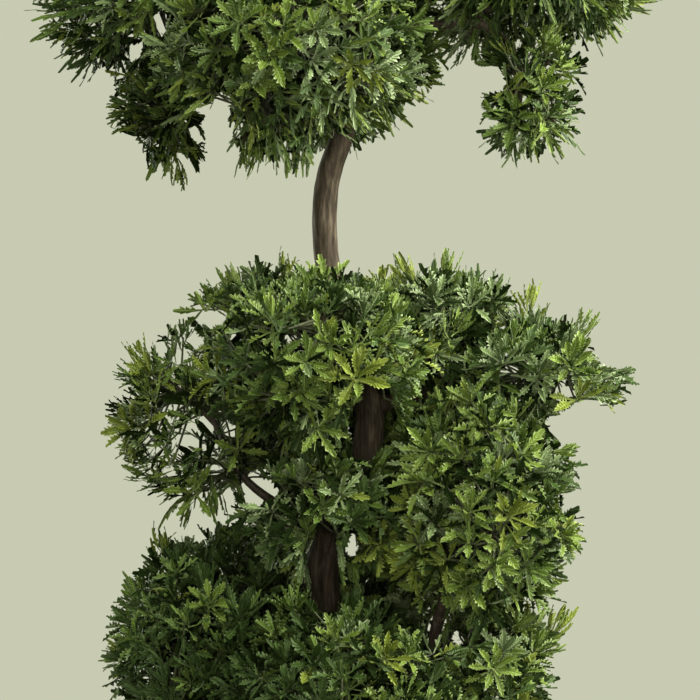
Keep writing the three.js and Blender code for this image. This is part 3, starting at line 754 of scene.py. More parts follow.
def twig_material(name, tones):
    """Thin twig with faint lengthwise streaks."""
    made = Nodes(name)
    streaks = made.noise(made.place((1, 1, 0.6)), 260, 3)
    tone = made.ramp(streaks, *zip((0.35, 0.65), tones))
    relief = made.bump(made.noise(made.place(), 900, 2), 0.4, 0.2)
    return made.finished(tone, relief, made.span(streaks, 0.3, 0.7, 0.7, 0.55))


def pot_material():
    """Matt cast pot: charcoal, with fine grit, a faint cloudiness and paler specks."""
    made = Nodes("pot_stone")
    place = made.place()
    clouds = made.noise(place, 14, 4)
    grit = made.noise(place, 520, 3, 0.7)
    body = made.ramp(clouds, *zip((0.35, 0.65), POT_TONES))
    tone = made.blend(made.span(grit, 0.62, 0.74, 0.0, 0.6), body, POT_TONES[2])
    relief = made.bump(clouds, 0.3, 1.2, made.bump(grit, 0.35, 0.35))
    return made.finished(tone, relief, made.span(grit, 0.3, 0.7, 0.72, 0.88))


def soil_material():
    """Crumbly soil, dark between the crumbs."""
    made = Nodes("soil_crumb")
    crumbs = made.noise(made.place(), 240, 5, 0.7)
    tone = made.ramp(crumbs, *zip((0.3, 0.52, 0.72), SOIL_TONES))
    return made.finished(tone, made.bump(crumbs, 0.9, 1.4), made.span(crumbs, 0.3, 0.7, 1.0, 0.85))


def floor_material():
    made = Nodes("floor_pale")
    tone = made.ramp(made.noise(made.place(), 3, 2), *zip((0.3, 0.7), FLOOR_TONES))
    made.feed(tone, made.shader.inputs["Base Color"])
    made.feed(FLOOR_ROUGHNESS, made.shader.inputs["Roughness"])
    return made.material


# Camera, light and floor

def add_camera():
    data = bpy.data.cameras.new("camera")
    data.sensor_width = CAMERA_SENSOR
    data.lens = CAMERA_SENSOR * -CAMERA_PLACE[1] / PICTURE_WIDTH
    camera = add_object("camera", data)
    camera.location = [c * MM for c in CAMERA_PLACE]
    camera.rotation_euler = (math.pi / 2, 0, 0)
    bpy.context.scene.camera = camera


def add_lamp(name, place, size, watts, colour):
    data = bpy.data.lights.new(name, "AREA")
    data.shape = "SQUARE"
    data.size = size * MM
    data.energy = watts
    data.color = colour
    lamp = add_object(name, data)
    lamp.location = [c * MM for c in place]
    x, y, z = np.subtract(LAMP_AIM, place)
    lamp.rotation_euler = (math.atan2(math.hypot(x, y), -z), 0, math.atan2(x, -y) + math.pi)


def add_surroundings():
    """The glow all round, and the backdrop that the camera sees."""
    bpy.context.scene.view_settings.view_transform = "Standard"
    world = bpy.data.worlds.new("studio")
    world.use_nodes = True
    bpy.context.scene.world = world
    nodes, links = world.node_tree.nodes, world.node_tree.links
    seen = nodes["Background"]
    around = nodes.new("ShaderNodeBackground")
    for node, colour, strength in ((seen, BACKDROP, 1.0), (around, GLOW, GLOW_STRENGTH)):
        node.inputs["Color"].default_value = (*colour, 1)
        node.inputs["Strength"].default_value = strength
    ray = nodes.new("ShaderNodeLightPath")
    choose = nodes.new("ShaderNodeMixShader")
    links.new(ray.outputs["Is Camera Ray"], choose.inputs["Fac"])
    links.new(around.outputs["Background"], choose.inputs[1])
    links.new(seen.outputs["Background"], choose.inputs[2])
    links.new(choose.outputs["Shader"], nodes["World Output"].inputs["Surface"])


def add_floor():
    rings = upright_rings((FLOOR_RADIUS, FLOOR_RADIUS / 2), (0, 0), FLOOR_SIDES)
    floor = new_piece("floor", *capped(rings), [floor_material()])


# Trunk and boughs

trunk_curve = Curve(TRUNK_AXIS)


def trunk_radius(share, turn):
    """Radius of the trunk in the solids, at shares of its length and turns round it."""
    z = trunk_curve.at(share)[..., 2]
    waist = mix(TRUNK_FOOT_RADIUS, TRUNK_WAIST_RADIUS, ease(z, SOIL_TOP, TRUNK_WAIST_FOOT))
    rise = np.maximum(0, (z - TRUNK_WAIST_TOP) / (TRUNK_AXIS[-1][2] - TRUNK_WAIST_TOP))
    taper = mix(waist, TRUNK_TIP_RADIUS, rise)
    flare = np.maximum(0, 1 - (z - SOIL_TOP) / FLARE_HEIGHT) ** 2
    ridge = flare * ROOT_RIDGE * np.cos(ROOTS * turn)
    grain = TRUNK_OVAL * np.cos(2 * turn + 9 * share) + TRUNK_LUMPS * np.cos(3 * turn - 14 * share)
    return taper * (1 + FLARE_GROWTH * flare + ridge + grain)


def bark_relief(points, radii):
    """How far the bark stands out, in millimetres: soft lumps, lengthwise ridges and fibres."""
    lumps = smooth_noise(points, LUMP_PATCH, 1) * LUMP_DEPTH * radii
    ridges = 1 - np.abs(smooth_noise(points, RIDGE_PATCH, 2)) * 2
    fibres = smooth_noise(points, FIBRE_PATCH, 3)
    return lumps + RIDGE_DEPTH * radii * ridges + FIBRE_DEPTH * radii * fibres


def add_limb(node, centres, radii, material, finer=1.0, deeper=1.0):
    """The mesh of a trunk or bough with its bark. radii holds one radius for each ring and turn."""
    across = directions_round(*moving_frames(centres), radii.shape[1])
    points = centres[:, None] + across * radii[..., None]
    points = points + across * bark_relief(points * finer, radii * deeper)[..., None]
    points[..., 2] = np.maximum(points[..., 2], SOIL_TOP - TRUNK_SUNK)
    limb = new_piece("bark_" + node, *capped(points), [material])
    put_in_place(limb, "bark", node)


def add_trunk(material):
    shares = np.linspace(TRUNK_START, 1, TRUNK_RINGS)
    radii = trunk_radius(shares[:, None], round_turns(TRUNK_SIDES)[None, :])
    add_limb("trunk", trunk_curve.at(shares), radii, material)


def trunk_point_at(height):
    return trunk_curve.at(np.interp(height, trunk_curve.points[:, 2], trunk_curve.shares))


def plan_boughs():
    """The curve, root radius and share at which each bough enters its mass."""
    plans = {"trunk": dict(curve=trunk_curve)}
    for mass in MASSES:
        if "bough" not in mass:
            continue
        bearer, at, radius, via = mass["bough"]
        start = trunk_point_at(at) if bearer == "trunk" else plans[bearer]["curve"].at(at)
        curve = Curve([start, *via, mass["heart"]])
        enters = BOUGH_SHORTEST / curve.length
        while enters < BOUGH_LONGEST_SHARE and not in_space(mass, curve.at(enters)):
            enters += BOUGH_STEP
        plans["bough_" + mass["name"]] = dict(curve=curve, radius=radius, enters=enters)
    del plans["trunk"]
    return plans


def bough_radius(plan, share):
    return plan["radius"] * mix(1, BOUGH_TAPER, share / plan["enters"])


def add_bough(name, plan, material):
    curve = plan["curve"]
    reach = min(1, plan["enters"] + BOUGH_IN_MASS / curve.length)
    rings = max(BOUGH_FEWEST_RINGS, int(curve.length * reach / BOUGH_RING_STEP))
    shares = np.linspace(0, reach, rings)
    collar = 1 + COLLAR_GROWTH * np.exp(-shares * curve.length / COLLAR_LENGTH)
    radii = np.repeat((bough_radius(plan, shares) * collar)[:, None], BOUGH_SIDES, axis=1)
    add_limb(name, curve.at(shares), radii, material, BOUGH_RELIEF_FINER, BOUGH_RELIEF_DEEPER)


# The space of a mass

def radius_towards(mass, direction):
    """How far the round of a mass reaches in a direction."""
    return 1 / np.linalg.norm(np.asarray(direction) / mass["reach"], axis=-1)


def prepare_spaces():
    """Flat walls between each mass and the others, placed by how far each reaches towards the other."""
    for mass in MASSES:
        mass["heart"] = np.array(mass["heart"], float)
        mass["reach"] = np.array(mass["reach"], float)
    for mass in MASSES:
        normals, limits = [], []
        for other in MASSES:
            if other is mass:
                continue
            normal = other["heart"] - mass["heart"]
            distance = np.linalg.norm(normal)
            normal = normal / distance
            own = radius_towards(mass, normal)
            share = own / (own + radius_towards(other, normal))
            normals.append(normal)
            limits.append(normal @ mass["heart"] + distance * share - SPACE_MARGIN)
        mass["normals"] = np.array(normals)
        mass["limits"] = np.array(limits)


def in_space(mass, points, proud=1.0):
    """Whether all points lie in the space of a mass, where proud lets them stand out of its round."""
    points = np.atleast_2d(points)
    round_it = np.linalg.norm((points - mass["heart"]) / mass["reach"], axis=1) <= proud
    within = (points @ mass["normals"].T <= mass["limits"]).all(axis=1)
    return bool((round_it & within).all())


def space_reach(mass, directions):
    """How far the space reaches from the heart in each direction."""
    slopes = directions @ mass["normals"].T
    room = mass["limits"] - mass["normals"] @ mass["heart"]
    walls = np.where(slopes > 1e-6, room / np.maximum(slopes, 1e-6), np.inf)
    return np.minimum(walls.min(axis=1), radius_towards(mass, directions))


def share_in(mass, points):
    """How far out points lie, as a share of the mass's reach."""
    return np.linalg.norm((points - mass["heart"]) / mass["reach"], axis=-1)


def spread_directions(count, spin):
    """Directions spread evenly all round, from the top down."""
    k = np.arange(count)
    height = mix(1.0, -1.0, (k + 0.5) / count)
    ring = np.sqrt(1 - height ** 2)
    turn = spin + k * GOLDEN_TURN
    return np.stack([ring * np.cos(turn), ring * np.sin(turn), height], axis=1)


# Blades and rosettes

def half_blade(teeth):
    """Half a blade from midrib to toothed edge: points (along, across, lift, edge share) and triangles."""
    if teeth:
        edge = [(*station, 0) for station in zip(*BLADE_ENVELOPE)][:2]
        step = (TEETH_TO - TEETH_FROM) / teeth
        for k in range(teeth):
            notch = TEETH_FROM + k * step
            tooth = notch + TOOTH_LEAN * step
            edge.append((notch, NOTCH_SHARE * np.interp(notch, *BLADE_ENVELOPE), -TOOTH_LIFT))
            edge.append((tooth, np.interp(tooth, *BLADE_ENVELOPE), TOOTH_LIFT))
        middle = [(along, 0, 0) for along in MIDRIB]
    else:
        edge = [(*station, 0) for station in PLAIN_EDGE]
        middle = [(along, 0, 0) for along in PLAIN_MIDRIB]
    points = np.array(middle + edge + [(1, 0, 0)], float)
    share = points[:, 1] / np.interp(points[:, 0], *BLADE_ENVELOPE)
    tip = len(points) - 1
    left, right = 0, len(middle)
    others = [k for k in range(1, tip) if k != right]
    triangles = []
    for k in sorted(others, key=lambda k: (points[k, 0], k < len(middle))):
        triangles.append((left, k, right))
        if k < len(middle):
            left = k
        else:
            right = k
    triangles.append((left, tip, right))
    return np.column_stack([points, np.minimum(share, 1)]), np.array(triangles)


HALF_BLADES = {teeth: half_blade(teeth) for teeth in {whorl[1] for kind in WHORLS.values() for whorl in kind}}


def blade(rng, teeth, length, bend, wide):
    """A whole blade along X with its upper side to +Z, joined. Its map holds (edge share, along)."""
    shape, triangles = HALF_BLADES[teeth]
    twist = math.radians(rng.uniform(-BLADE_TWIST, BLADE_TWIST))
    sway = rng.uniform(-BLADE_SWAY, BLADE_SWAY)
    fold = BLADE_FOLD * rng.uniform(*FOLD_RANGE)
    along, across = shape[:, 0], shape[:, 1] * wide
    whole = Heap()
    for side in (1, -1):
        y = side * across
        z = fold * across + shape[:, 2]
        turn = twist * along
        turned_y = y * np.cos(turn) - z * np.sin(turn)
        turned_z = y * np.sin(turn) + z * np.cos(turn) + bend * along ** 2
        placed = np.stack([along, turned_y + sway * along ** 2, turned_z], axis=1) * length
        edge_share = 0.5 + 0.5 * side * shape[:, 3]
        whole.add(placed, triangles[:, ::side], maps=np.stack([edge_share, along], axis=1))
    return whole.joined()


def rosette(rng, whorls):
    """A rosette on a twig that comes up to the origin along +Z, joined. Its numbers give the blade that each
    triangle belongs to. The last array holds points along each blade."""
    whole = Heap()
    marks = []
    start = rng.uniform(0, 2 * math.pi)
    for blades, teeth, angles, lengths, bends, widths, way_down in whorls:
        for k in range(blades):
            turn = start + (k + rng.uniform(-TURN_JITTER, TURN_JITTER)) * 2 * math.pi / blades
            angle = math.radians(rng.uniform(*angles))
            length = BLADE_LENGTH * rng.uniform(*lengths)
            points, faces, _, maps = blade(rng, teeth, length, rng.uniform(*bends), rng.uniform(*widths))
            radial = np.array([math.cos(turn), math.sin(turn), 0])
            axis = np.array([0, 0, 1.0])
            out = radial * math.sin(angle) + axis * math.cos(angle)
            up = -radial * math.cos(angle) + axis * math.sin(angle)
            side = np.cross(up, out)
            foot = radial * BLADE_FOOT - axis * rng.uniform(*way_down)
            placed = points[:, :1] * out + points[:, 1:2] * side + points[:, 2:] * up + foot
            tip = placed[np.argmax(points[:, 0])]
            whole.add(placed, faces, len(marks), maps)
            marks.append([mix(foot, tip, share) for share in BLADE_MARKS])
        start += math.pi / blades + rng.uniform(-START_JITTER, START_JITTER)
    return *whole.joined(), np.array(marks)


def rosettes_by_use():
    """The different rosettes that are dealt out, by their use."""
    rng = np.random.default_rng(WORLD_SEED)
    return {
        use: [rosette(rng, WHORLS[kind]) for kind, count in kinds.items() for _ in range(count)]
        for use, kinds in ROSETTE_MIX.items()
    }


# Growth of a mass

def limb_samples(plans):
    """Points along the trunk and boughs with their radii, for keeping leaves clear."""
    shares = np.linspace(0, 1, TRUNK_SAMPLES)
    centres, radii = [trunk_curve.at(shares)], [trunk_radius(shares, 0.0)]
    for plan in plans.values():
        shares = np.linspace(0, plan["enters"], BOUGH_SAMPLES)
        centres.append(plan["curve"].at(shares))
        radii.append(bough_radius(plan, shares))
    return np.vstack(centres), np.concatenate(radii)


def clear_of_limbs(points, limbs, margin):
    """Which points lie further than a margin from every limb."""
    centres, radii = limbs
    gaps = np.linalg.norm(points[:, None] - centres[None], axis=2) - radii
    return gaps.min(axis=1) > margin


def seen_at(points):
    """Where the camera's rays through points cross the plane of the trunk."""
    eye = np.array(CAMERA_PLACE)
    share = -eye[1] / (points[:, 1] - eye[1])
    return eye[0] + (points[:, 0] - eye[0]) * share, eye[2] + (points[:, 2] - eye[2]) * share


def clear_of_windows(points, margin):
    """Which points lie outside every window, as the camera sees them. The windows have ragged edges."""
    x, z = seen_at(points)
    ragged = 1 + WINDOW_UNEVEN * smooth_noise(np.stack([x, x * 0, z], axis=-1), WINDOW_RAGS, 21)
    clear = np.ones(len(points), bool)
    for windows, back in ((SKY_WINDOWS, math.inf), (LIMB_WINDOWS, LIMB_WINDOW_BACK)):
        for wx, wz, half_x, half_z in windows:
            inside = ((x - wx) / (half_x + margin)) ** 2 + ((z - wz) / (half_z + margin)) ** 2 <= ragged
            clear &= ~(inside & (points[:, 1] < back))
    return clear


def lines_clear(starts, ends, shares=(0.3, 0.5, 0.7, 0.9)):
    """Which straight lines pass no window, tried at shares of their length."""
    clear = np.ones(len(starts), bool)
    for share in shares:
        clear &= clear_of_windows(mix(starts, ends, share), 0)
    return clear


def facing_out(mass, offset):
    """The way that a tuft faces at an offset from the heart of its mass: outward, and a little up."""
    return unit(unit(offset / mass["reach"]) + np.array([0, 0, UPWARD]))


def main_hubs(mass, index):
    """The ends and facings of the main twigs, in the directions that the sprays of the solids take."""
    draw = stream(FIRST_SEED + SEED_STEP * index)
    mean_reach = float(np.prod(mass["reach"])) ** (1 / 3)
    size = float(np.clip(SPRAY_SHARE * mean_reach, SPRAY_SMALLEST, SPRAY_LARGEST))
    tries = round(4 * math.pi * (MEAN_HUB_SHARE * mean_reach / (SPRAY_SPACING * size)) ** 2)
    passed = CORE_CORNERS if mass["core"] else 1 + max(3, round(tries / SPRAYS_ON_A_TWIG))
    for _ in range(passed):
        draw()
    directions = spread_directions(tries, draw() * 2 * math.pi)
    open_share = space_reach(mass, directions) / radius_towards(mass, directions)
    hubs = []
    for direction in directions[open_share >= OPEN_SHARE]:
        facing = facing_out(mass, direction)
        hub = furthest_hub(mass, direction, facing, size)
        if hub is not None and clear_of_windows(hub[None], HUB_MARGIN).all():
            hubs.append((hub, facing))
    for end in mass.get("sprigs", ()):
        hubs.append((np.array(end, float), facing_out(mass, end - mass["heart"])))
    return hubs


def furthest_hub(mass, direction, facing, size):
    """The furthest place in a direction where a spray as large as in the solids keeps within the mass."""
    helper = np.array([1.0, 0, 0]) if abs(facing[0]) < 0.8 else np.array([0, 1.0, 0])
    across = unit(np.cross(helper, facing))
    out, up = SPRAY_TIPS
    tips = directions_round(across, np.cross(facing, across), SPRAY_BLADES) * size * out + facing * up * size
    far = radius_towards(mass, direction)
    share = HUB_FURTHEST
    while share >= HUB_NEAREST:
        hub = mass["heart"] + direction * far * share
        if in_space(mass, hub + tips, TIPS_PROUD):
            return hub
        share -= HUB_STEP
    return None


def sprig_sites(mass, rng):
    """Places and facings of the rosettes on the sprigs: one at the end, and some lower down its twig."""
    places, facings = [], []
    for end in mass["sprigs"]:
        facing = facing_out(mass, end - mass["heart"])
        across = unit(np.cross(facing, [0, 1.0, 0.2]))
        depth = np.cross(facing, across)
        places.append(np.array(end, float))
        facings.append(facing)
        start = rng.uniform(0, 2 * math.pi)
        for k in range(SPRIG_SIDE_ROSETTES):
            turn = start + k * 2 * math.pi / SPRIG_SIDE_ROSETTES
            side = across * math.cos(turn) + depth * math.sin(turn)
            places.append(end - facing * rng.uniform(*SPRIG_WAY_DOWN) + side * SPRIG_BESIDE)
            facings.append(unit(facing + side * SPRIG_TURN))
    return np.array(places), np.array(facings)


def thin_out(points, spacing, order, taken):
    """The points kept, in order, so that none lies nearer than its spacing to one kept before."""
    near = np.full((len(taken) + len(order), 3), 1e6)
    if taken:
        near[:len(taken)] = taken
    count = len(taken)
    kept = []
    for i in order:
        gaps = near[:count] - points[i]
        if count and (gaps * gaps).sum(axis=1).min() < spacing[i] ** 2:
            continue
        near[count] = points[i]
        count += 1
        kept.append(i)
    return kept


def bezier(a, b, c, d, steps):
    """Points on a curve from a to d that leaves towards b and arrives from c, for many curves at once."""
    t = np.linspace(0, 1, steps)[None, :, None]
    a, b, c, d = (p[:, None] for p in (a, b, c, d))
    return a * (1 - t) ** 3 + 3 * b * t * (1 - t) ** 2 + 3 * c * t * t * (1 - t) + d * t ** 3


def many_tubes(paths, start_radius, end_radius, sides):
    """Thin tubes along many paths of equal numbers of points."""
    count, steps = paths.shape[:2]
    along = unit(np.gradient(paths, axis=1))
    chord = unit(paths[:, -1] - paths[:, 0])
    helper = np.where(np.abs(chord[:, 2:]) < 0.8, [[0, 0, 1.0]], [[1.0, 0, 0]])
    across = unit(np.cross(along, helper[:, None]))
    radii = mix(start_radius, end_radius, np.linspace(0, 1, steps))[:, None, None]
    points = paths[:, :, None] + directions_round(across, np.cross(along, across), sides) * radii
    faces = ring_faces(steps, sides)[None] + np.arange(count)[:, None, None] * steps * sides
    return points.reshape(-1, 3), in_threes(faces.reshape(-1, 4))


def rotations(facings, rolls):
    """Frames whose Z axis is each facing, turned about it by each roll."""
    helper = np.where(np.abs(facings[:, 2:]) < 0.9, [[0, 0, 1.0]], [[1.0, 0, 0]])
    x = unit(np.cross(helper, facings))
    y = np.cross(facings, x)
    cosine, sine = np.cos(rolls)[:, None], np.sin(rolls)[:, None]
    return np.stack([x * cosine + y * sine, y * cosine - x * sine, facings], axis=2)


def stem_in(mass, plan):
    """The stem that carries a bough on to the heart of its mass, and its radius at the foot."""
    if plan:
        start = plan["enters"] + GAP / plan["curve"].length
        return Curve(plan["curve"].at(np.linspace(start, 1, STEM_POINTS))), bough_radius(plan, plan["enters"])
    return Curve([trunk_point_at(mass["stem"]), mass["heart"]]), TRUNK_TIP_RADIUS


def main_twigs(mass, hubs, stem, rng):
    """Paths from the stem, through the place where the solids root each spray, to its hub."""
    paths = []
    for hub, facing in hubs:
        inner = ROOT_IN_CORE * (mass["core"] or CORE_OF_AIRY) / max(LEAST_HUB_SHARE, share_in(mass, hub))
        root = mix(mass["heart"], hub, inner)
        foot = stem.at(rng.uniform(*MAIN_TWIG_FEET))
        path = Curve([foot, root, hub - facing * SHORT_OF_HUB]).at(np.linspace(0, 1, MAIN_TWIG_POINTS))
        if clear_of_windows(path, 0).sum() >= MAIN_TWIG_POINTS - 1:
            paths.append(path)
    return np.array(paths)


def rosette_layers(mass, hubs, limbs, taken, rng):
    """Layers of rosettes: an outer one under the surface, two within, and the sprigs. Each is a name, and the
    places and outward directions of its rosettes. taken holds the places in the masses before, by layer."""
    heart, reach = mass["heart"], mass["reach"]
    airy = mass.get("airy", 1.0)
    ways_out = unit(spread_directions(SITE_TRIES, rng.uniform(0, 6.28)) * reach)
    tries = len(ways_out)
    full = space_reach(mass, ways_out)
    ball = radius_towards(mass, ways_out)
    from_hubs = (heart + ways_out * ball[:, None])[:, None] - np.array([hub for hub, _ in hubs])
    from_tuft = np.linalg.norm(from_hubs, axis=2).min(axis=1)
    normals = unit(ways_out / reach ** 2)
    layers = []
    for layer in ("outer", *INNER_LAYERS):
        if layer == "outer":
            between_tufts = np.clip((from_tuft - TUFT_RADIUS) / TUFT_FADE, 0, 1)
            depth = OUTER_DEPTH + DEPTH_BY_CHANCE * rng.random(tries) ** CHANCE_POWER
            depth += DEPTH_BETWEEN_TUFTS * between_tufts
            depth = np.where(rng.random(tries) < PROUD_SHARE, PROUD_DEPTH, depth)
            far = np.maximum(full - depth, full * DEEPEST)
            spacing = OUTER_SPACING * airy * rng.uniform(*SPACING_RANGE, tries)
        else:
            share, share_range, apart, opening = INNER_LAYERS[layer]
            far = full * share * rng.uniform(*share_range, tries)
            spacing = np.full(tries, apart * airy ** opening)
        points = heart + ways_out * far[:, None]
        usable = clear_of_limbs(points, limbs, LIMB_CLEARANCE) & clear_of_windows(points, SITE_MARGIN)
        if layer == "outer":
            walled = full < ball * WALLED
            for other in MASSES:
                if other is not mass:
                    usable &= ~(walled & (share_in(other, points) < OUT_OF_OTHERS))
        order = [i for i in rng.permutation(tries) if usable[i]]
        kept = thin_out(points, spacing, order, taken[layer])
        taken[layer].extend(points[kept])
        if kept:
            layers.append((layer, points[kept], normals[kept]))
    if "sprigs" in mass:
        layers.append(("sprig", *sprig_sites(mass, rng)))
    return layers


def twig_feet(mass, sites, main_paths, rng):
    """The foot of each site's twig on the main twigs, the way of the main twig there, and whether the site
    can be reached without crossing a window."""
    places = main_paths[:, 2:].reshape(-1, 3)
    ways = unit(np.gradient(main_paths, axis=1))[:, 2:].reshape(-1, 3)
    too_far_out = share_in(mass, places)[None] - share_in(mass, sites)[:, None] + FOOT_DEEPER
    gaps = np.linalg.norm(sites[:, None] - places[None], axis=2)
    cost = gaps + FOOT_TOO_FAR_OUT * np.maximum(0, too_far_out)
    cost += rng.uniform(0, FOOT_SPREAD, cost.shape)
    nearest = cost.argsort(axis=1)[:, :FEET_TRIED]
    clear = lines_clear(places[nearest].reshape(-1, 3), np.repeat(sites, nearest.shape[1], axis=0))
    clear = clear.reshape(nearest.shape)
    chosen = nearest[np.arange(len(sites)), clear.argmax(axis=1)]
    return places[chosen], ways[chosen], clear.any(axis=1)


def which_hang(mass, normals, rng):
    """Which rosettes hang under the mass: many in the top tier, few in the others."""
    steepest = HANGS_IN_CROWN if mass["name"].startswith("crown") else HANGS_ELSEWHERE
    return normals[:, 2] + rng.normal(0, HANGS_SPREAD, len(normals)) < steepest


def side_twigs(layer, sites, facings, feet, ways, rng):
    """Paths that leave the main twigs along them, sag a little and come up straight under the rosettes."""
    length = np.linalg.norm(sites - feet, axis=1)[:, None]
    sag = np.array([0, 0, -1.0]) * length * rng.uniform(0, TWIG_SAG, (len(sites), 1))
    straight_share, straight_most = COMES_UP_STRAIGHT
    ahead = feet + ways * length * ALONG_MAIN_TWIG + sag
    behind = sites - facings * np.minimum(length * straight_share, straight_most)
    return bezier(feet, ahead, behind, sites, SIDE_TWIG_POINTS[layer])


def deal_tints(mass, layer, sites, rng):
    """A tint for each rosette: neighbours tend to share one, and those further in are darker, which is
    painted shade.
    """
    patch = smooth_noise(sites, TINT_PATCH, 7) * 0.5 + 0.5
    sunk = 1 - share_in(mass, sites)
    value = TINT_BY_PATCH * patch + TINT_BY_CHANCE * rng.random(len(sites)) + SHADE_BY_DEPTH * sunk
    rank = value.argsort().argsort() / max(1, len(sites))
    shares = np.cumsum(mass["tints"]) / np.sum(mass["tints"])
    tint = np.minimum(np.searchsorted(shares, rank), DEEP)
    # Painted shade: the middle layer gets many deep and shade tints, the inner layer only the shade tint.
    if layer == "middle":
        tint = np.where(rng.random(len(sites)) < DEEP_IN_MIDDLE, DEEP, tint)
        tint = np.where(rng.random(len(sites)) < SHADE_IN_MIDDLE, SHADE, tint)
    return np.full(len(sites), SHADE) if layer == "inner" else tint


def blade_tints(mass, layer, tints, blades, rng):
    """The tint of each blade: mostly its rosette's, now and then another of the mass's."""
    dealt = np.repeat(tints[:, None], blades, axis=1)
    if layer == "inner":
        return dealt
    chances = np.array(mass["tints"]) / np.sum(mass["tints"])
    others = rng.choice(len(chances), dealt.shape, p=chances)
    return np.where(rng.random(dealt.shape) < BLADE_OF_OTHER_TINT, others, dealt)


def add_rosettes(leaves, mass, layer, rosettes, sites, facings, hanging, rng):
    """The rosettes of one layer, without the blades that would cross a window."""
    scale = rng.uniform(*ROSETTE_SIZES, len(sites))
    turned = rotations(facings, rng.uniform(0, 2 * math.pi, len(sites)))
    tints = deal_tints(mass, layer, sites, rng)
    use_of = np.full(len(sites), layer, dtype=object)
    if layer in ("outer", "middle"):
        use_of[rng.random(len(sites)) < mass.get("shoots", 0)] = "shoot"
    if layer == "outer":
        use_of[hanging] = "hanging"
    for use in ("hanging", "shoot", layer):
        members = np.flatnonzero(use_of == use)
        chosen = rng.integers(0, len(rosettes[use]), len(members))
        for number, (points, faces, owners, maps, marks) in enumerate(rosettes[use]):
            these = members[chosen == number]
            if not len(these):
                continue
            shape = np.vstack([points, marks.reshape(-1, 3)])
            placed = np.einsum("nij,kj->nki", turned[these], shape) * scale[these, None, None]
            placed += sites[these, None]
            clear = clear_of_windows(placed[:, len(points):].reshape(-1, 3), MARK_MARGIN)
            kept_blades = clear.reshape(len(these), *marks.shape[:2]).all(axis=2)
            kept = kept_blades[:, owners].ravel()
            shifts = np.arange(len(these))[:, None, None] * len(points)
            corner_maps = np.broadcast_to(maps[faces], (len(these), *faces.shape, 2)).reshape(-1, 3, 2)
            dealt = blade_tints(mass, layer, tints[these], len(marks), rng)
            leaves.add(placed[:, :len(points)].reshape(-1, 3), (faces[None] + shifts).reshape(-1, 3)[kept],
                       dealt[:, owners].ravel()[kept], corner_maps[kept].reshape(-1, 2))


def grow(mass, index, plan, rosettes, limbs, taken, materials):
    """The leaves and twigs of one mass, each joined into a piece."""
    rng = np.random.default_rng(WORLD_SEED + MASS_SEED_STEP * index)
    twigs, leaves = Heap(), Heap()
    stem, stem_radius = stem_in(mass, plan)
    hubs = main_hubs(mass, index)
    main_paths = main_twigs(mass, hubs, stem, rng)
    stem_path = stem.at(np.linspace(0, 1, MAIN_TWIG_POINTS))[None]
    twigs.add(*many_tubes(stem_path, stem_radius * STEM_GROWTH, stem_radius * STEM_TAPER, STEM_SIDES))
    twigs.add(*many_tubes(main_paths, *MAIN_TWIG))
    for layer, sites, normals in rosette_layers(mass, hubs, limbs, taken, rng):
        feet, ways, reached = twig_feet(mass, sites, main_paths, rng)
        sites, normals, feet, ways = (a[reached] for a in (sites, normals, feet, ways))
        hanging = which_hang(mass, normals, rng)
        upward = np.where(hanging[:, None], HANGING_UPWARD,
                          FACING_UPWARD - FACING_LEVELLED * np.minimum(0, normals[:, 2:]))
        facings = unit(normals + FACING_ALONG * unit(sites - feet) + upward * np.array([[0, 0, 1.0]]))
        facings = unit(facings + rng.normal(0, FACING_SPREAD[layer], facings.shape))
        twigs.add(*many_tubes(side_twigs(layer, sites, facings, feet, ways, rng), *SIDE_TWIG), numbers=1)
        add_rosettes(leaves, mass, layer, rosettes, sites, facings, hanging, rng)
    put_in_place(leaves.as_piece("leaves_" + mass["name"], materials["leaves"]), "foliage", mass["name"])
    put_in_place(twigs.as_piece("twigs_" + mass["name"], materials["twigs"]), "bark")


# Pot and soil

def arc(centre, radius, start, end, steps=6):
    angles = np.radians(np.linspace(start, end, steps))
    return [(centre[0] + radius * math.cos(a), centre[1] + radius * math.sin(a)) for a in angles]


def pot_outer(z):
    return mix(POT_FOOT_RADIUS, POT_RIM_RADIUS - RIM_STEP, z / POT_HEIGHT)


def pot_inner(z):
    return pot_outer(z) - POT_WALL


def add_pot():
    """The pot's shell, turned about Z: along its underside, up the wall, over the rim and down inside into
    the soil. The points between are there for even shading."""
    band = POT_HEIGHT - RIM_BAND
    rim = POT_HEIGHT - RIM_ROUND
    foot = POT_FOOT_RADIUS - POT_FOOT_ROUND
    profile = [(0, 0), (40, 0), (foot, 0)]
    profile += arc((foot, POT_FOOT_ROUND), POT_FOOT_ROUND, -90, 0)[1:]
    profile += [(pot_outer(z), z) for z in np.linspace(8, band - 1.2, 12)]
    profile += [(pot_outer(band) + 0.6, band - 0.2)]
    profile += arc((POT_RIM_RADIUS - RIM_UNDER_ROUND, band + 1.8), RIM_UNDER_ROUND, -80, 0, 5)
    profile += [(POT_RIM_RADIUS, z) for z in np.linspace(band + 4, rim - 0.5, 4)]
    profile += arc((POT_RIM_RADIUS - RIM_ROUND, rim), RIM_ROUND, 0, 90)
    profile += arc((pot_inner(POT_HEIGHT) + RIM_ROUND, rim), RIM_ROUND, 90, 180)
    profile += [(pot_inner(z), z) for z in np.linspace(rim - 1, SOIL_TOP - 14, 4)]
    points = upright_rings(*zip(*profile), POT_SIDES).reshape(-1, 3)
    pot = new_piece("pot_shell", points, ring_faces(len(profile), POT_SIDES), [pot_material()])
    put_in_place(pot, "pot", "pot")


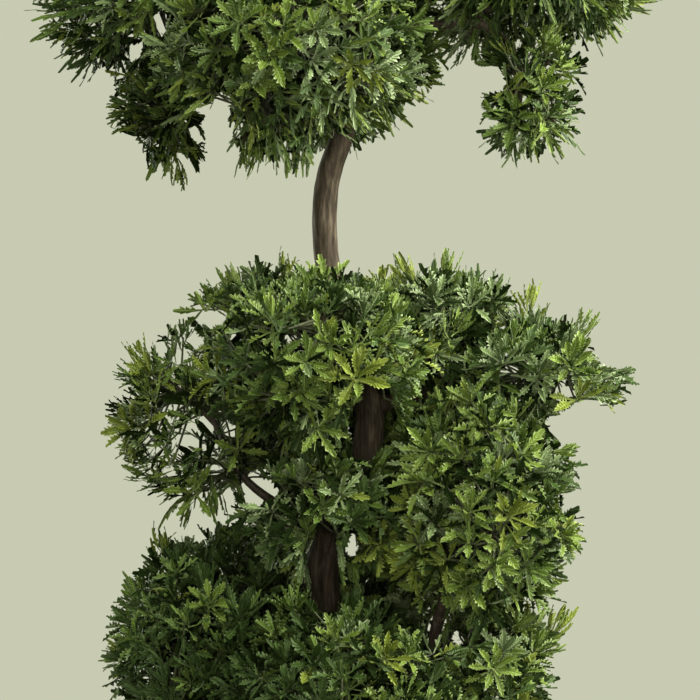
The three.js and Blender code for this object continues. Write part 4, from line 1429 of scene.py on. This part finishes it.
def add_soil():
    """The soil's lumpy surface with a skirt that reaches down inside the pot, and loose crumbs on it."""
    rng = np.random.default_rng(WORLD_SEED + SOIL_SEED_STEP)
    edge = pot_inner(SOIL_TOP) - GAP
    radii = edge * np.linspace(0, 1, SOIL_RINGS) ** 0.8
    surface = upright_rings(radii, np.full(SOIL_RINGS, SOIL_TOP), SOIL_SIDES)
    surface[..., 2] += sum(
        smooth_noise(surface, size, 11 + k) * height for k, (size, height) in enumerate(SOIL_LUMPS)
    )
    skirt = surface[-1:].copy()
    skirt[..., 2] = SOIL_TOP - SOIL_SKIRT
    soil = Heap()
    points = np.concatenate([surface, skirt]).reshape(-1, 3)
    soil.add(points, in_threes(ring_faces(SOIL_RINGS + 1, SOIL_SIDES)))
    corners, faces = icosahedron()
    for _ in range(CRUMBS):
        radius = rng.uniform(*CRUMB_RADII) * (BIG_CRUMB_GROWTH if rng.random() < BIG_CRUMB_SHARE else 1)
        distance = (edge - CRUMBS_FROM_EDGE) * math.sqrt(rng.random())
        turn = rng.uniform(0, 2 * math.pi)
        height = SOIL_TOP + CRUMB_RISE * radius
        centre = np.array([distance * math.cos(turn), distance * math.sin(turn), height])
        uneven = rng.uniform(*CRUMB_UNEVEN, (len(corners), 1))
        soil.add(corners * uneven * radius * np.array([1, 1, CRUMB_FLATNESS]) + centre, faces)
    put_in_place(soil.as_piece("soil_crumbs", [soil_material()]), "soil", "soil")


def icosahedron():
    """The corners of a round of twenty triangles, at one from the middle, and its triangles."""
    g = (1 + math.sqrt(5)) / 2
    corners = []
    for a, b in itertools.product((-1, 1), (-g, g)):
        corners += [(0, a, b), (a, b, 0), (b, 0, a)]
    corners = unit(np.array(corners, float))
    edge = min(np.linalg.norm(corners[0] - c) for c in corners[1:])
    faces = []
    for i, j, k in itertools.combinations(range(12), 3):
        sides = [np.linalg.norm(corners[p] - corners[q]) for p, q in ((i, j), (j, k), (i, k))]
        if max(sides) < edge * 1.01:
            outward = np.dot(np.cross(corners[j] - corners[i], corners[k] - corners[i]), corners[i])
            faces.append((i, j, k) if outward > 0 else (i, k, j))
    return corners, np.array(faces)


# Assembly

add_camera()
for lamp in LAMPS:
    add_lamp(*lamp)
add_surroundings()
add_floor()

prepare_spaces()
plans = plan_boughs()
bark = bark_material()
add_trunk(bark)
for name, plan in plans.items():
    add_bough(name, plan, bark)
add_pot()
add_soil()

materials = {
    "leaves": [leaf_material("leaf_" + tint, *look) for tint, look in TINTS.items()],
    "twigs": [twig_material("twig_wood", WOOD_TONES), twig_material("twig_green", GREEN_TWIG_TONES)],
}
rosettes = rosettes_by_use()
limbs = limb_samples(plans)
taken = {"outer": [], "middle": [], "inner": []}
for index, mass in enumerate(MASSES):
    grow(mass, index, plans.get("bough_" + mass["name"]), rosettes, limbs, taken, materials)

bpy.context.view_layer.update()
